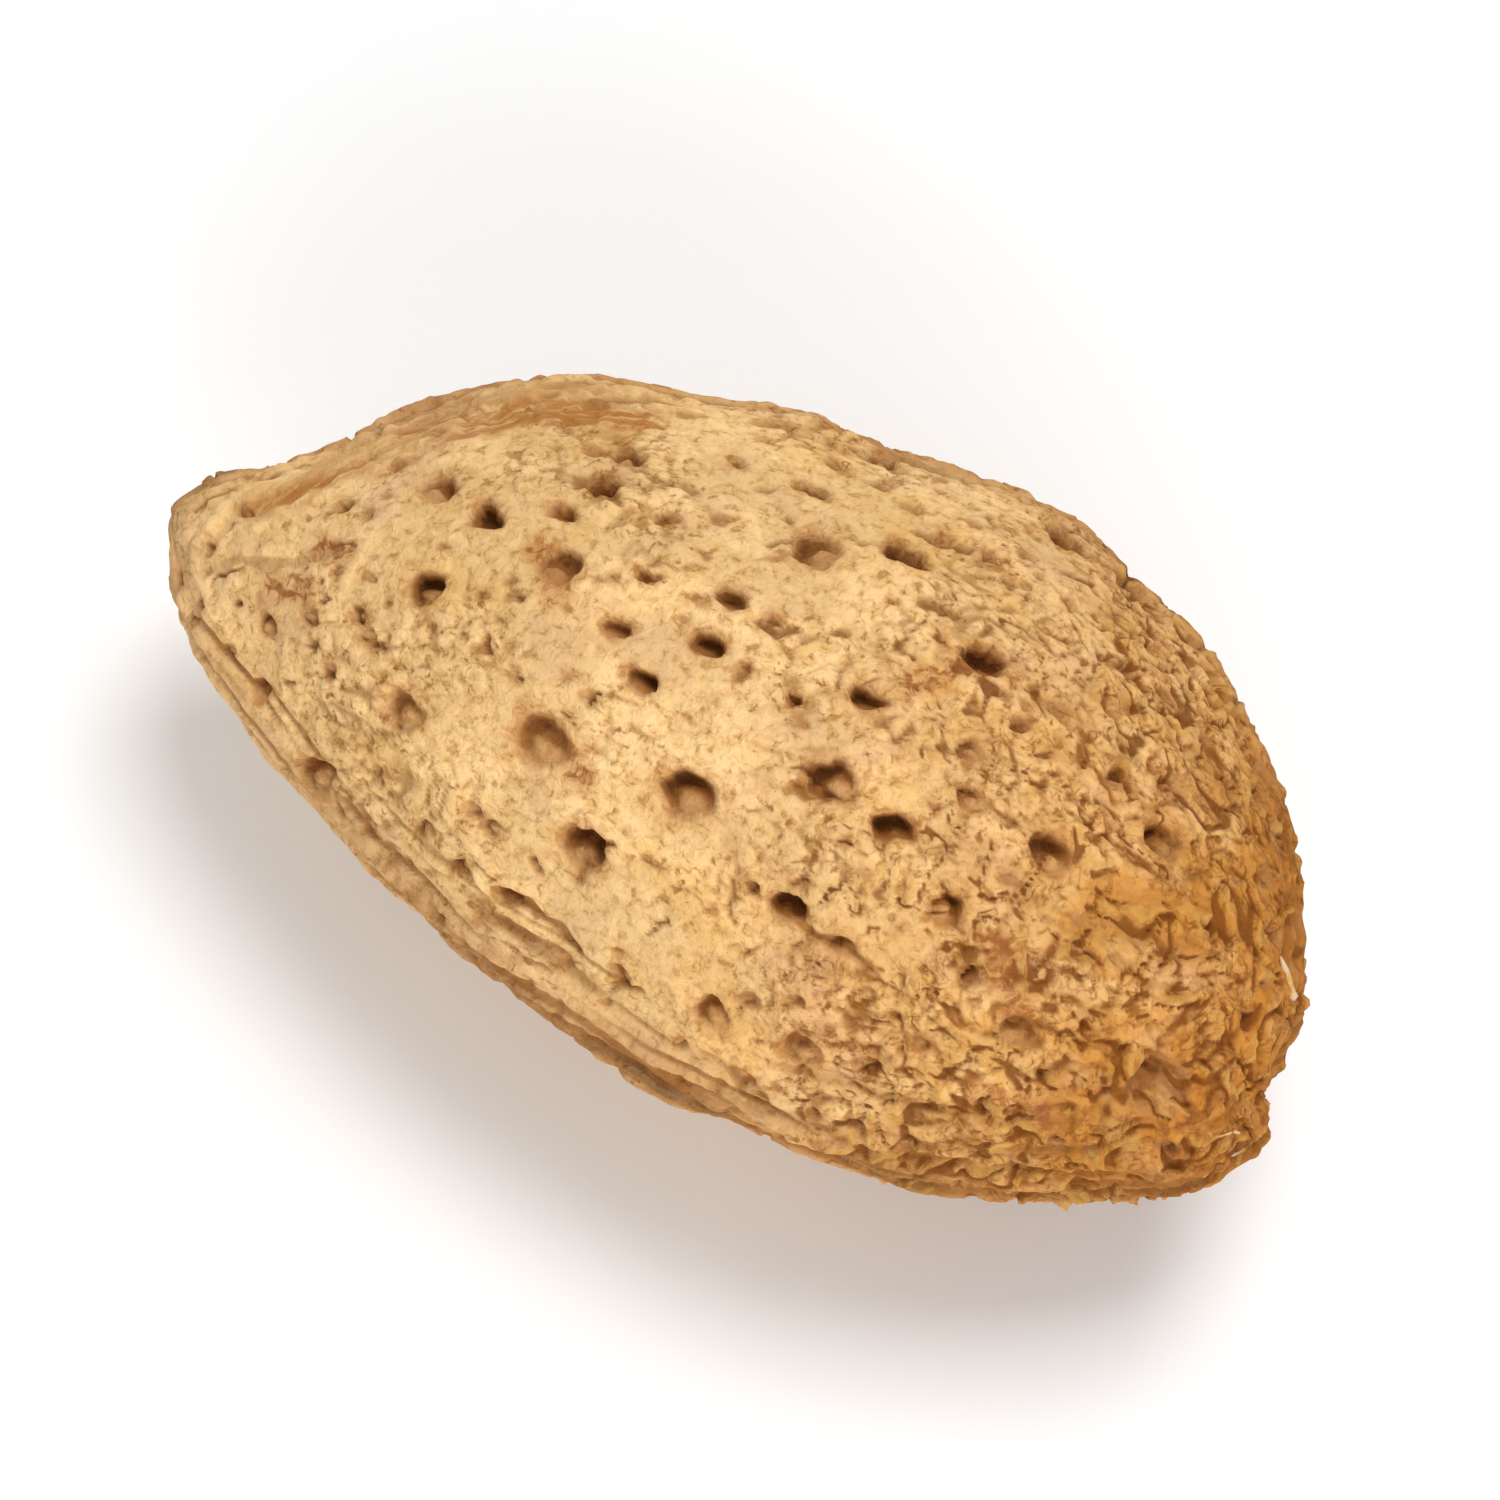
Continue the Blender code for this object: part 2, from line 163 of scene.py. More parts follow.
# What bends the crumbs and the torn edges into swirls
SWIRL, SWIRL_SIZE = 0.7 * MM, 1.6 * MM
SWIRL_LAYERS = (34, 35, 36)  # the noise that moves places along each axis

# Cracks
CRACK_SIZE = (3.4 * MM, 2.0 * MM, 2.0 * MM)
CRACK_RAGGED, CRACK_RAGGED_SIZE = 0.15, 0.5 * MM
CRACK_WIDTH = 0.05
CRACK_FLOOR = 0.2  # of its width
CRACK_BREAKS, CRACK_PIECE_SIZE = (0.28, 0.42), 2.2 * MM
CRACK_DEPTH = 0.17 * MM

# Pits. SEEN names are for those of SEEN_PITS, and SEEN_FACE names for others on the face that is seen.
PIT_COUNT = 178
PIT_MOST_ALONG = 0.98  # of the half length, from the middle
PIT_RADII = (0.36 * MM, 0.82 * MM)
PIT_SPACING = 1.25
SEEN_FACE = 0.35
SEEN_FACE_LARGEST = 0.30 * MM
SEEN_FACE_SPACING = 2.3
PIT_SMALL_SHARE = 1.6
PIT_DEPTH_SHARE = 1.35
PIT_DEEPEST = 0.72 * MM
PIT_WALL = (0.64, 1.0)
PIT_STRETCH = 1.45
PIT_REACH = 2.2  # its stain's too, in stretched radii
PIT_SLANT = 0.5
PIT_LEAN = 0.65
PIT_RAGGED = 0.20
RAGGED_SIZE = 0.7 * MM
PIT_BENT = ((0.60 * MM, 0.16 * MM), (0.24 * MM, 0.08 * MM))  # over what size an outline strays, and how far
PIT_CORNERS = (2, 3, 3, 4)
PIT_CORNER_SHARE = 0.26
PIT_ROUND = 0.45 * MM  # larger pits than this have rounder corners
SEEN_CORNER_SHARE = 0.5  # of the others' corner share
SEEN_MOST_CORNERS = 3
SEEN_OPEN_STRETCH, SEEN_FILLED_STRETCH = 1.55, 1.1
OPEN_FILL = 0.35  # from this fill on, a pit is round
SEEN_PIT_TURN = 0.8  # how far the deep side strays from the top of the picture, in radians
SEEN_SLANT_SHARE = 0.5  # of the others' slant
FILLED_LOSS = 0.60  # of a filled pit's depth
PLUG_RISE = 0.72  # how far the plug in a filled pit's middle comes up
PLUG_GROWS = 1.6  # for each fill, until it is whole
PLUG_WALL = (0.15, 0.62)
PLUG_SHIFT = 0.24  # how far it lies off the middle, away from the deep side, in radii
PIT_CLEAR_OF_SEAM = 1.7 * MM
SPOT_CLEARANCE = 2.6 * MM
SEED = 7
HOLLOW_EDGE = (0.78, 1.02)  # in radii: where the brown inside a pit ends
STAIN_REACH = (0.75, 1.7)  # in radii: how far the brown round a pit goes

# Small pits, between the others
SMALL_PIT_COUNT = 330
SMALL_PIT_RADII = (0.10 * MM, 0.25 * MM)
SMALL_PIT_SPACING = 1.3

# The pits that show most on the upper face, in millimetres to the right and up from the nut's middle as it
# is seen from VIEW_TURN degrees round and VIEW_TILT degrees up: right, up, radius, and how far it is filled.
VIEW_TURN, VIEW_TILT = 28.5, 68.0
SEEN_PITS = (
    (-2.6, 9.5, 0.49, 0.6), (-8.0, 8.7, 0.61, 0.8), (2.7, 8.7, 0.39, 0.0), (-3.2, 8.6, 0.46, 0.3),
    (-4.5, 8.0, 0.33, 0.1), (-6.6, 7.9, 0.46, 0.0), (-1.5, 7.7, 0.30, 0.2), (6.3, 7.3, 0.33, 0.6),
    (2.7, 7.0, 0.76, 0.7), (5.2, 6.8, 0.52, 0.0), (-4.6, 6.3, 0.64, 0.8), (-8.3, 5.8, 0.61, 0.4),
    (0.4, 5.4, 0.33, 0.0), (-13.2, 4.9, 0.36, 0.8), (-2.8, 4.7, 0.30, 0.1), (1.6, 4.7, 0.36, 0.8),
    (-0.4, 4.2, 0.39, 0.0), (7.5, 3.8, 0.55, 0.2), (11.5, 3.8, 0.39, 0.7), (-2.2, 3.1, 0.39, 0.1),
    (-13.2, 3.0, 0.36, 0.3), (4.0, 2.8, 0.39, 0.0), (-9.0, 2.4, 0.70, 1.0), (-5.1, 1.6, 0.91, 0.8),
    (6.9, 1.2, 0.42, 0.7), (-11.6, 0.6, 0.64, 0.8), (3.0, 0.5, 0.76, 0.5), (11.2, 0.5, 0.49, 0.6),
    (12.5, 0.4, 0.46, 0.6), (-0.9, 0.0, 0.82, 0.5), (6.9, -0.2, 0.39, 0.7), (4.6, -0.9, 0.49, 0.0),
    (12.4, -1.3, 0.64, 0.5), (-4.0, -1.6, 0.73, 0.5), (9.2, -1.6, 0.70, 0.6), (-6.2, -2.9, 0.42, 0.3),
    (1.8, -3.1, 0.46, 0.1), (6.2, -3.1, 0.55, 0.7), (3.4, -4.1, 0.39, 0.7), (-0.4, -6.0, 0.52, 0.8),
    (8.2, -6.5, 0.55, 0.9), (2.2, -7.0, 0.58, 1.0), (12.1, -8.0, 0.94, 0.9),
)

# Cracks, creases, strands and brown stains there, in the same millimetres, each from end to end
SEEN_CRACKS = (
    ((1.9, -3.2), (2.5, -3.8), (3.5, -4.2), (4.1, -4.8)),
    ((-6.4, -2.7), (-5.6, -3.1), (-4.8, -3.8), (-4.1, -4.5)),
    ((1.1, 4.8), (1.6, 4.5), (2.1, 4.7)),
    ((5.6, 7.5), (6.2, 7.2), (7.0, 7.0)),
    ((10.7, 4.0), (11.4, 3.8), (12.0, 3.2)),
    ((11.9, -7.5), (12.5, -8.0), (13.0, -8.6)),
    ((5.7, 5.4), (6.6, 5.0)),
    ((-4.2, -0.9), (-3.9, -1.4), (-4.1, -2.4)),
    ((-3.9, -1.4), (-3.1, -1.4)),
    ((11.9, -3.7), (12.3, -4.5)),
    ((-4.0, 8.6), (-3.3, 8.8), (-2.8, 8.1)),
)
SEEN_CREASES = (
    ((-14.9, 6.4), (-13.9, 6.8), (-12.2, 6.7), (-10.6, 7.0)),
    ((-6.0, -6.3), (-3.0, -7.9), (1.5, -9.4), (6.0, -10.5)),
    ((-7.5, -4.3), (-4.5, -6.3), (-1.0, -7.9), (3.0, -9.2)),
)
SEEN_STRANDS = (
    ((-13.4, 7.8), (-12.2, 8.3), (-11.2, 8.7), (-9.8, 9.4), (-8.9, 9.9), (-7.6, 10.4)),
    ((-15.2, 7.4), (-14.6, 8.2), (-13.2, 8.9), (-11.2, 9.5), (-9.4, 10.1)),
    ((-9.6, 10.6), (-7.6, 11.1), (-5.0, 11.4), (-2.4, 11.2), (0.0, 10.7)),
)
SEEN_BAND = (
    ((-13.2, 8.4), (-11.2, 9.2), (-9.6, 9.8), (-8.0, 10.3), (-6.0, 10.8), (-4.0, 10.9), (-2.2, 10.7)),
)
SEEN_STAINS = (
    ((5.1, 3.1), (6.2, 3.4), (7.2, 3.7)),
    ((-13.0, 5.9), (-11.8, 5.9)),
    ((-11.5, 6.9), (-10.7, 6.9)),
    ((7.7, -4.2), (8.2, -6.4)),
    ((7.2, -8.3), (9.0, -9.0)),
    ((-4.3, 1.2), (-3.9, 0.3)),
    ((-5.0, 7.0), (-4.4, 5.6)),
)
CRACK_HALF_WIDTH, STAIN_HALF_WIDTH, BAND_HALF_WIDTH = 0.18 * MM, 0.70 * MM, 0.75 * MM
CREASE_HALF_WIDTH, CREASE_DEPTH = 0.24 * MM, 0.07 * MM
CREASE_BROWN = 0.6  # of a furrow's
STRAND_HALF_WIDTH, STRAND_HEIGHT = 0.34 * MM, 0.16 * MM

# How ragged those lines are
LINE_RAGGED, LINE_RAGGED_SIZE = 0.8, 0.5 * MM
LINE_CORE = 0.25  # of its half width

LAYER_STEP = 17.3  # between two layers of noise, in bumps

# Mesh
BALL_SUBDIVISIONS = 8
TRIANGLES = 196000

# Frayed fibres round the stem scar
FRAY_COUNT = 6
FRAY_LENGTH = (0.7 * MM, 1.5 * MM)
FRAY_RADIUS = (0.06 * MM, 0.10 * MM)
FRAY_PLACE = (0.95, 1.7)  # how far from the scar's middle they start, in scar radii
FRAY_LIFT = (0.02 * MM, 0.16 * MM)  # how far their ends stand off
FRAY_STRAY = 0.8  # the most their first heading strays along each axis
FRAY_CURL = 0.16  # the most they turn at a step, in radians
FRAY_TAPER = 0.85  # of the radius
FRAY_SIDES, FRAY_STEPS = 6, 9
SEEN_FRAY = ((15.75, -5.8), (15.2, -4.6))  # the pale one, as in SEEN_CRACKS
SEEN_FRAY_RADIUS, SEEN_FRAY_LIFT = 0.19 * MM, 0.10 * MM

# Colours, linear
CREAM = (0.92, 0.61, 0.28)
TAN = (0.79, 0.475, 0.19)
OLIVE = (0.46, 0.26, 0.08)
PINK = (0.72, 0.44, 0.24)
EDGE_TAN = (0.60, 0.35, 0.16)
HONEY = (0.84, 0.49, 0.15)
ORANGE = (0.60, 0.26, 0.055)
RUST = (0.42, 0.155, 0.028)
RUSSET = (0.27, 0.085, 0.030)
AMBER = (0.60, 0.32, 0.075)
UMBER = (0.25, 0.085, 0.013)
CHESTNUT = (0.19, 0.055, 0.005)
DARK = (0.085, 0.024, 0.004)
END_TINT = (0.66, 0.40, 0.08)
FAR_TINT = (0.45, 0.26, 0.06)
HOLLOW = (0.46, 0.23, 0.085)
STRAW = (0.64, 0.48, 0.31)
FLOOR = (0.92, 0.92, 0.92)

# The material's noises: the size of a bump, detail and roughness
SPECKLE = (0.36 * MM, 4, 0.62)
PATCHES = (2.6 * MM, 3, 0.55)
PORES = (0.34 * MM, 3, 0.6)
WARMTH = (1.4 * MM, 4, 0.6)
TORN_SWIRL = (0.90 * MM, 2, 0.50)
TORN_PATCHES = (1.0 * MM, 3, 0.6)
STREAKS = (0.30 * MM, 4, 0.6)
GRAIN = (0.13 * MM, 2, 0.6)
FRAY_SPECKLE = (0.30 * MM, 4, 0.6)
STREAK_STRETCH = (9, 9, 1)

# How much of its colour each layer of the material lays on
PATCH_SHARE = 0.5
SPECK_SHARE = 0.95
EDGE_SHARE = 0.5
PORE_SHARES = (0.2, 0.85)  # where the shell is smooth and where it is rough
# Painted shade in the creases between crumbs, and how much stronger it is at the stem end
CREASE_SHADE_SHARE, CREASE_SHADE_END_GAIN = 0.6, 1.6
BARE_SHARE = 0.2
FAR_SHARE = 0.36
TORN_LINES = ((0.58, 0.050, 0.4, AMBER), (0.5, 0.080, 0.9, CHESTNUT))  # swirl's level, reach, share, colour
FIBRE_SHARE = 0.65
SEAM_SHARE, RUST_SHARE = 0.7, 0.9
STRAND_SHARE = 0.35
GROOVE_SHARE = 0.6
FURROW_SHARE = 0.6
SMEAR_SHARE, SMEAR_CORE_SHARE = 0.8, 0.7
STAIN_SHARE = 0.62
CRACK_SHARE = 0.8
HOLLOW_SHARE = 0.62
# Painted highlight on the torn edges' lips and painted shade in their grooves
CURL_LIP_HIGHLIGHT_SHARE, CURL_GROOVE_SHADE_SHARE = 0.5, 0.85
# Painted shade in the pits, by their depth
PIT_SHADE_SHARE = 0.8

# How rough and how shiny things are, and the material's bumps: how high, and how strong
SHELL_ROUGHNESS, SHELL_SPECULAR = (0.95, 0.78), 0.14
FRAY_ROUGHNESS = 0.8
FLOOR_ROUGHNESS = 0.9
COARSE_BUMP = (0.20 * MM, 0.60)
GRAIN_BUMP = (0.05 * MM, 0.5)
FRAY_BUMP = (0.03 * MM, 0.6)

# Camera and light. Distances are from the nut's middle.
SHOWN_WIDTH = 42 * MM  # of the whole frame, at the nut
LENS, SENSOR = 200.0, 36.0
KEY = (0.25, 0.65, 0.78)  # towards the light: right, up and towards the camera
FILL = (0.15, -0.85, 0.6)
KEY_SIZE, KEY_WATTS = 0.32, 2.35
FILL_SIZE, FILL_WATTS = 0.6, 3.6
ROOM_STRENGTH = 0.46
LIGHT_DISTANCE = 0.6
FLOOR_HALF = 0.6
CLIP_FACTOR = 20  # how many times nearer and farther than the nut the camera sees


def curve(values, station):
    """The smooth curve through the values at STATIONS."""
    stations = np.array(STATIONS)
    values = np.array(values)
    slopes = np.gradient(values, stations)
    left = np.clip(np.searchsorted(stations, station) - 1, 0, len(stations) - 2)
    gap = stations[left + 1] - stations[left]
    t = (station - stations[left]) / gap
    rise = t * t * (3 - 2 * t)
    leave = t * (1 - t) ** 2 * gap
    arrive = t * t * (t - 1) * gap
    mixed = values[left] * (1 - rise) + values[left + 1] * rise
    return mixed + slopes[left] * leave + slopes[left + 1] * arrive


def smooth_step(low, high, value):
    t = np.clip((value - low) / (high - low), 0, 1)
    return t * t * (3 - 2 * t)


def seam_climb(station):
    """How far the seam lies above half height on the +Y side."""
    return SEAM_RISE * smooth_step(*SEAM_CLIMBS, station) * (1 - smooth_step(*SEAM_SINKS, station))


def smooth_nut(directions):
    """Where each unit direction lies on the nut before its relief."""
    along, across, up = directions.T
    station = (1 + along) / 2
    ring = np.maximum(np.hypot(across, up), 1e-9)
    sharpness = TIP_SHARPNESS + (END_SHARPNESS - TIP_SHARPNESS) * station
    y = LENGTH * curve(MIDLINE, station) + WIDTH / 2 * curve(WIDTH_FULLNESS, station) * across
    z = THICKNESS / 2 * curve(THICK_FULLNESS, station) * up * np.abs(up / ring) ** sharpness
    z += seam_climb(station) * np.clip(across / ring, 0, 1) ** 4
    return np.stack([LENGTH / 2 * along, y, z], axis=1)


def smooth_normals(directions):
    """The outward normals there, from two small steps along the surface."""
    pole = np.where(np.abs(directions[:, 2:]) > 0.7, [[0.0, 1.0, 0.0]], [[0.0, 0.0, 1.0]])
    first = np.cross(directions, pole)
    first /= np.linalg.norm(first, axis=1, keepdims=True)
    second = np.cross(directions, first)

    def slope(step):
        ahead = directions + NORMAL_STEP * step
        behind = directions - NORMAL_STEP * step
        ahead /= np.linalg.norm(ahead, axis=1, keepdims=True)
        behind /= np.linalg.norm(behind, axis=1, keepdims=True)
        return smooth_nut(ahead) - smooth_nut(behind)

    normals = np.cross(slope(first), slope(second))
    return normals / np.linalg.norm(normals, axis=1, keepdims=True)


def station_of(points):
    return points[:, 0] / LENGTH + 0.5


def noise_at(points, size, layer):
    """Soft noise from -1 to 1 whose bumps are about size across. size may differ by axis."""
    places = points / np.asarray(size) + LAYER_STEP * layer
    return np.array([noise.noise(Vector(place)) for place in places])


def swellings(points):
    height = np.zeros(len(points))
    for index, (size, rise) in enumerate(SWELLINGS):
        height += rise * noise_at(points, size, index + 1)
    return height


def seam_distance(points):
    """How far each point lies above the seam, which wanders a little."""
    wander = noise_at(points * [1, 1, 0], WANDER_SIZE, 3)
    climb = seam_climb(station_of(points)) * smooth_step(0, SEAM_SIDE, points[:, 1])
    return points[:, 2] - climb - SEAM_WANDER * wander


def seam_shown(points):
    """1 along most of the seam, and down to 0 at the -Y edge near the tip, where it is closed and pale."""
    station = station_of(points)
    side = points[:, 1] - LENGTH * curve(MIDLINE, station)
    far = smooth_step(-SEAM_FADE_SIDE, SEAM_FADE_SIDE, side)
    return far + (1 - far) * smooth_step(*NEAR_SEAM_BROWNS, station)


def keel(points, above):
    """A ridge along the seam with a groove in its crest and a chipped lip on each side of the groove."""
    station = station_of(points)
    high = np.where(points[:, 1] > 0, *KEEL_HEIGHT) * smooth_step(*KEEL_GROWS, station)
    high *= 1 - (1 - KEEL_LEFT) * smooth_step(*KEEL_FALLS, station)
    ridge = high * np.exp(-((above / KEEL_SPREAD) ** 2))
    chipped = CHIP_MEAN + CHIP_CHANGE * noise_at(points, CHIP_SIZE, 8)
    lip = np.where(points[:, 1] > 0, *LIP_HEIGHT) * chipped
    lip *= np.exp(-(((np.abs(above) - LIP_PLACE) / LIP_SPREAD) ** 2))
    groove = GROOVE_DEPTH * (chipped + GROOVE_UNCHIPPED) * np.exp(-((above / GROOVE_SPREAD) ** 2))
    groove *= CLOSED_GROOVE + (1 - CLOSED_GROOVE) * seam_shown(points)
    return ridge + lip - groove * smooth_step(*GROOVE_GROWS, station)


def furrows(points, above):
    """Broken grooves along the nut, deepest beside the keel."""
    away = np.abs(above)
    phase = away / FURROW_GAP + FURROW_BEND * noise_at(points, FURROW_BEND_SIZE, 4)
    lines = 0.5 - 0.5 * np.cos(2 * math.pi * phase)
    broken = smooth_step(*FURROW_BREAKS, noise_at(points, FURROW_PIECE_SIZE, 5))
    reach = smooth_step(*FURROW_STARTS, away) * (1 - smooth_step(*FURROW_ENDS, away))
    far_side = smooth_step(-FURROW_SIDE, FURROW_SIDE, points[:, 1])
    grown = np.maximum(smooth_step(*FURROW_GROWS, station_of(points)), far_side)
    return -FURROW_DEPTH * lines**2 * broken * reach * grown


def from_edge(points, above):
    """How far each point lies from the seam along the surface, roughly: up or down, and then inwards."""
    station = station_of(points)
    side = points[:, 1] - LENGTH * curve(MIDLINE, station)
    ring = np.sqrt(np.clip(1 - (2 * station - 1) ** 2, 0, 1))
    inward = WIDTH / 2 * curve(WIDTH_FULLNESS, station) * ring - np.abs(side)
    return np.abs(above) + np.maximum(inward, 0), side


def fibres(points, away, side):
    """Fine ridges beside the seam, from -1 to 1, which fade into the face."""
    wave = FIBRE_WAVE * noise_at(points, FIBRE_WAVE_SIZE, 9)
    face = np.where(side > 0, FIBRE_FACES[0], 0) + np.where(points[:, 2] > 0, FIBRE_FACES[1], 0)
    places = np.stack([points[:, 0] / FIBRE_LENGTH, (away + wave) / FIBRE_GAP, face], axis=1)
    return FIBRE_GAIN * noise_at(places, 1, 0) * (1 - smooth_step(*FIBRE_REACH, away))


def stem_scar(points):
    reach = np.linalg.norm(points - np.array(SCAR_PLACE), axis=1) / SCAR_RADIUS
    return -SCAR_DEPTH * (1 - smooth_step(SCAR_FLOOR, 1, reach))


def torn_end(points):
    """Ragged ridges round the scar, and folds round the tip."""
    reach = np.linalg.norm(points - np.array(SCAR_PLACE), axis=1)
    places = np.stack([reach, points[:, 1], points[:, 2]], axis=1)
    torn = TORN_HEIGHT * (1 - smooth_step(*TORN_REACH, reach)) * noise_at(places, TORN_SIZE, 10)
    station = station_of(points)
    bend = noise_at(points, TIP_FOLD_BEND_SIZE, 19)
    waves = np.cos(2 * math.pi * (station * LENGTH / TIP_FOLD_GAP + bend))
    return torn + TIP_FOLD_HEIGHT * waves * (1 - smooth_step(*TIP_FOLD_REACH, station))


def flakes(points):
    """1 where the outer cork is still in place and 0 where it has come off."""
    ragged = FLAKE_RAGGED * noise_at(points, FLAKE_RAGGED_SIZE, 12)
    return smooth_step(*FLAKE_EDGE, noise_at(points, FLAKE_SIZE, 11) + ragged)


def swirled(points):
    """The points moved about softly, which bends what is drawn from them into swirls."""
    return points + SWIRL * np.stack([noise_at(points, SWIRL_SIZE, layer) for layer in SWIRL_LAYERS], axis=1)


def roughness(points):
    """How rough the cork is: smooth in places, and rougher towards the stem end."""
    station = station_of(points)
    rougher = ROUGH_END * smooth_step(*ROUGH_END_GROWS, station)
    rough = smooth_step(*ROUGH_EDGE, noise_at(points, ROUGH_SIZE, 26) + rougher)
    return (ROUGH_SHARE[0] + (ROUGH_SHARE[1] - ROUGH_SHARE[0]) * rough) * smooth_step(*TIP_CALM, station)


def end_share(points):
    """How much of the stem end's colour each point has."""
    station = station_of(points) + END_STRAY * noise_at(points, END_STRAY_SIZE, 15)
    return sum(share * smooth_step(low, high, station) for share, low, high in END_STEPS)


def curls(points):
    """Torn edges of cork: down to -1 in the groove along each, and up to CURL_LIP at one side of it."""
    height = np.zeros(len(points))
    ragged = noise_at(points, CURL_JITTER_SIZE, 33)
    for index, (size, width) in enumerate(CURLS):
        line = (noise_at(points, size, 27 + index) + CURL_JITTER * ragged) / width
        broken = smooth_step(*CURL_BREAKS, noise_at(points, CURL_PIECE_SHARE * size, 30 + index))
        height += (CURL_LIP * np.exp(-((line - CURL_LIP_PLACE) ** 2)) - np.exp(-(line**2))) * broken
    stray = CURL_STRAY * noise_at(points, CURL_STRAY_SIZE, 29)
    return height * smooth_step(*CURL_REACH, station_of(points) + stray)


def crumbs(points):
    """(height, crease): rounded crumbs of cork, and how deep in a crease between them each point lies."""
    height = np.zeros(len(points))
    crease = np.zeros(len(points))
    for index, (size, rise, edge) in enumerate(CRUMBS):
        raised = smooth_step(0, edge, np.abs(noise_at(points, size, 13 + index)))
        height += rise * raised
        crease += (1 - raised) / len(CRUMBS)
    return height, crease


def cracks(points):
    """Winding cracks, from 0 to 1."""
    line = noise_at(points, CRACK_SIZE, 16) + CRACK_RAGGED * noise_at(points, CRACK_RAGGED_SIZE, 17)
    broken = smooth_step(*CRACK_BREAKS, noise_at(points, CRACK_PIECE_SIZE, 18))
    return (1 - smooth_step(CRACK_FLOOR, 1, np.abs(line) / CRACK_WIDTH)) * broken


def seen_lines(points, normals, lines, half_width):
    """1 along the given lines of the upper face as it is seen, and 0 from half_width away."""
    right, up, to_viewer = view_axes()
    seen = np.stack([points @ right, points @ up], axis=1) - seen_middle()
    nearest = np.full(len(points), np.inf)
    for line in lines:
        corners = np.array(line) * MM
        for start, end in zip(corners, corners[1:]):
            run = end - start
            share = np.clip((seen - start) @ run / (run @ run), 0, 1)
            nearest = np.minimum(nearest, np.linalg.norm(seen - start - share[:, None] * run, axis=1))
    ragged = 1 + LINE_RAGGED * noise_at(points, LINE_RAGGED_SIZE, 21)
    reach = nearest / half_width * ragged
    return (1 - smooth_step(LINE_CORE, 1, reach)) * (normals @ to_viewer > 0)


def spot_centre():
    """The lowest point of the smooth nut: the resting spot's middle."""
    turns = np.linspace(0, math.pi, 400)
    lowest = smooth_nut(np.stack([-np.cos(turns), 0 * turns, -np.sin(turns)], axis=1))
    return lowest[np.argmin(lowest[:, 2])]


def spot_distance(points):
    """Distance from the resting spot's middle, shortened along the nut, as the spot is longer than wide."""
    offset = (points - spot_centre()) * [SPOT_WIDTH_SHARE, 1, 1]
    return np.linalg.norm(offset, axis=1)


def view_axes():
    """Right, up and towards the viewer, as the nut is seen from VIEW_TURN and VIEW_TILT."""
    turn, tilt = math.radians(VIEW_TURN), math.radians(VIEW_TILT)
    right = np.array([math.cos(turn), math.sin(turn), 0])
    to_viewer = np.array([math.sin(turn) * math.cos(tilt), -math.cos(turn) * math.cos(tilt), math.sin(tilt)])
    return right, np.cross(to_viewer, right), to_viewer


def ball_grid():
    """Unit directions all round, about a degree apart."""
    around, out = np.meshgrid(np.linspace(0, 2 * math.pi, 361), np.linspace(0, math.pi, 241))
    ball = np.stack([-np.cos(out), np.sin(out) * np.cos(around), np.sin(out) * np.sin(around)], axis=-1)
    return ball.reshape(-1, 3)


def seen_at(directions, right, up):
    points = smooth_nut(directions)
    return np.stack([points @ right, points @ up], axis=1)


def seen_middle():
    """The middle of the smooth nut's box as it is seen."""
    right, up, _ = view_axes()
    seen = seen_at(ball_grid(), right, up)
    return (seen.min(axis=0) + seen.max(axis=0)) / 2


def seen_directions(places):
    """For each place, given as in SEEN_PITS, the direction of the point that is seen there."""
    right, up, to_viewer = view_axes()
    ball = ball_grid()
    ball = ball[smooth_normals(ball) @ to_viewer > 0]
    seen = seen_at(ball, right, up)
    places = np.array(places) * MM + seen_middle()
    return [ball[np.argmin(((seen - place) ** 2).sum(axis=1))] for place in places]


def random_direction(draw):
    """(direction, chance): chance is compared with the ring's size, so that places are spread evenly."""
    along = draw.uniform(-PIT_MOST_ALONG, PIT_MOST_ALONG)
    angle = draw.uniform(0, 2 * math.pi)
    ring = math.sqrt(1 - along * along)
    return np.array([along, ring * math.cos(angle), ring * math.sin(angle)]), ring


def place_pits():
    """(centre, normal, radius) of every pit: those of SEEN_PITS, then others at random with gaps between."""
    draw = random.Random(SEED)
    to_viewer = view_axes()[2]
    directions = seen_directions([pit[:2] for pit in SEEN_PITS])
    radii = [pit[2] * MM for pit in SEEN_PITS]
    centres = list(smooth_nut(np.array(directions)))
    while len(radii) < PIT_COUNT:
        direction, ring = random_direction(draw)
        size = draw.random() ** PIT_SMALL_SHARE
        chance = draw.random()
        centre = smooth_nut(direction[None])[0]
        radius = PIT_RADII[0] + (PIT_RADII[1] - PIT_RADII[0]) * size
        spacing = PIT_SPACING
        seen = smooth_normals(direction[None])[0] @ to_viewer > SEEN_FACE
        if seen:
            radius = min(radius, SEEN_FACE_LARGEST)
            spacing = SEEN_FACE_SPACING
        gaps = np.linalg.norm(np.array(centres) - centre, axis=1) / (np.array(radii) + radius)
        near_spot = spot_distance(centre[None])[0] < SPOT_CLEARANCE + radius
        near_seam = abs(seam_distance(centre[None])[0]) < PIT_CLEAR_OF_SEAM
        at_tip = seen and direction[0] < 2 * TIP_CLEAR - 1
        if chance > ring or gaps.min() < spacing or near_spot or near_seam or at_tip:
            continue
        directions.append(direction)
        radii.append(radius)
        centres.append(centre)
    normals = smooth_normals(np.array(directions))
    return list(zip(centres, normals, radii))


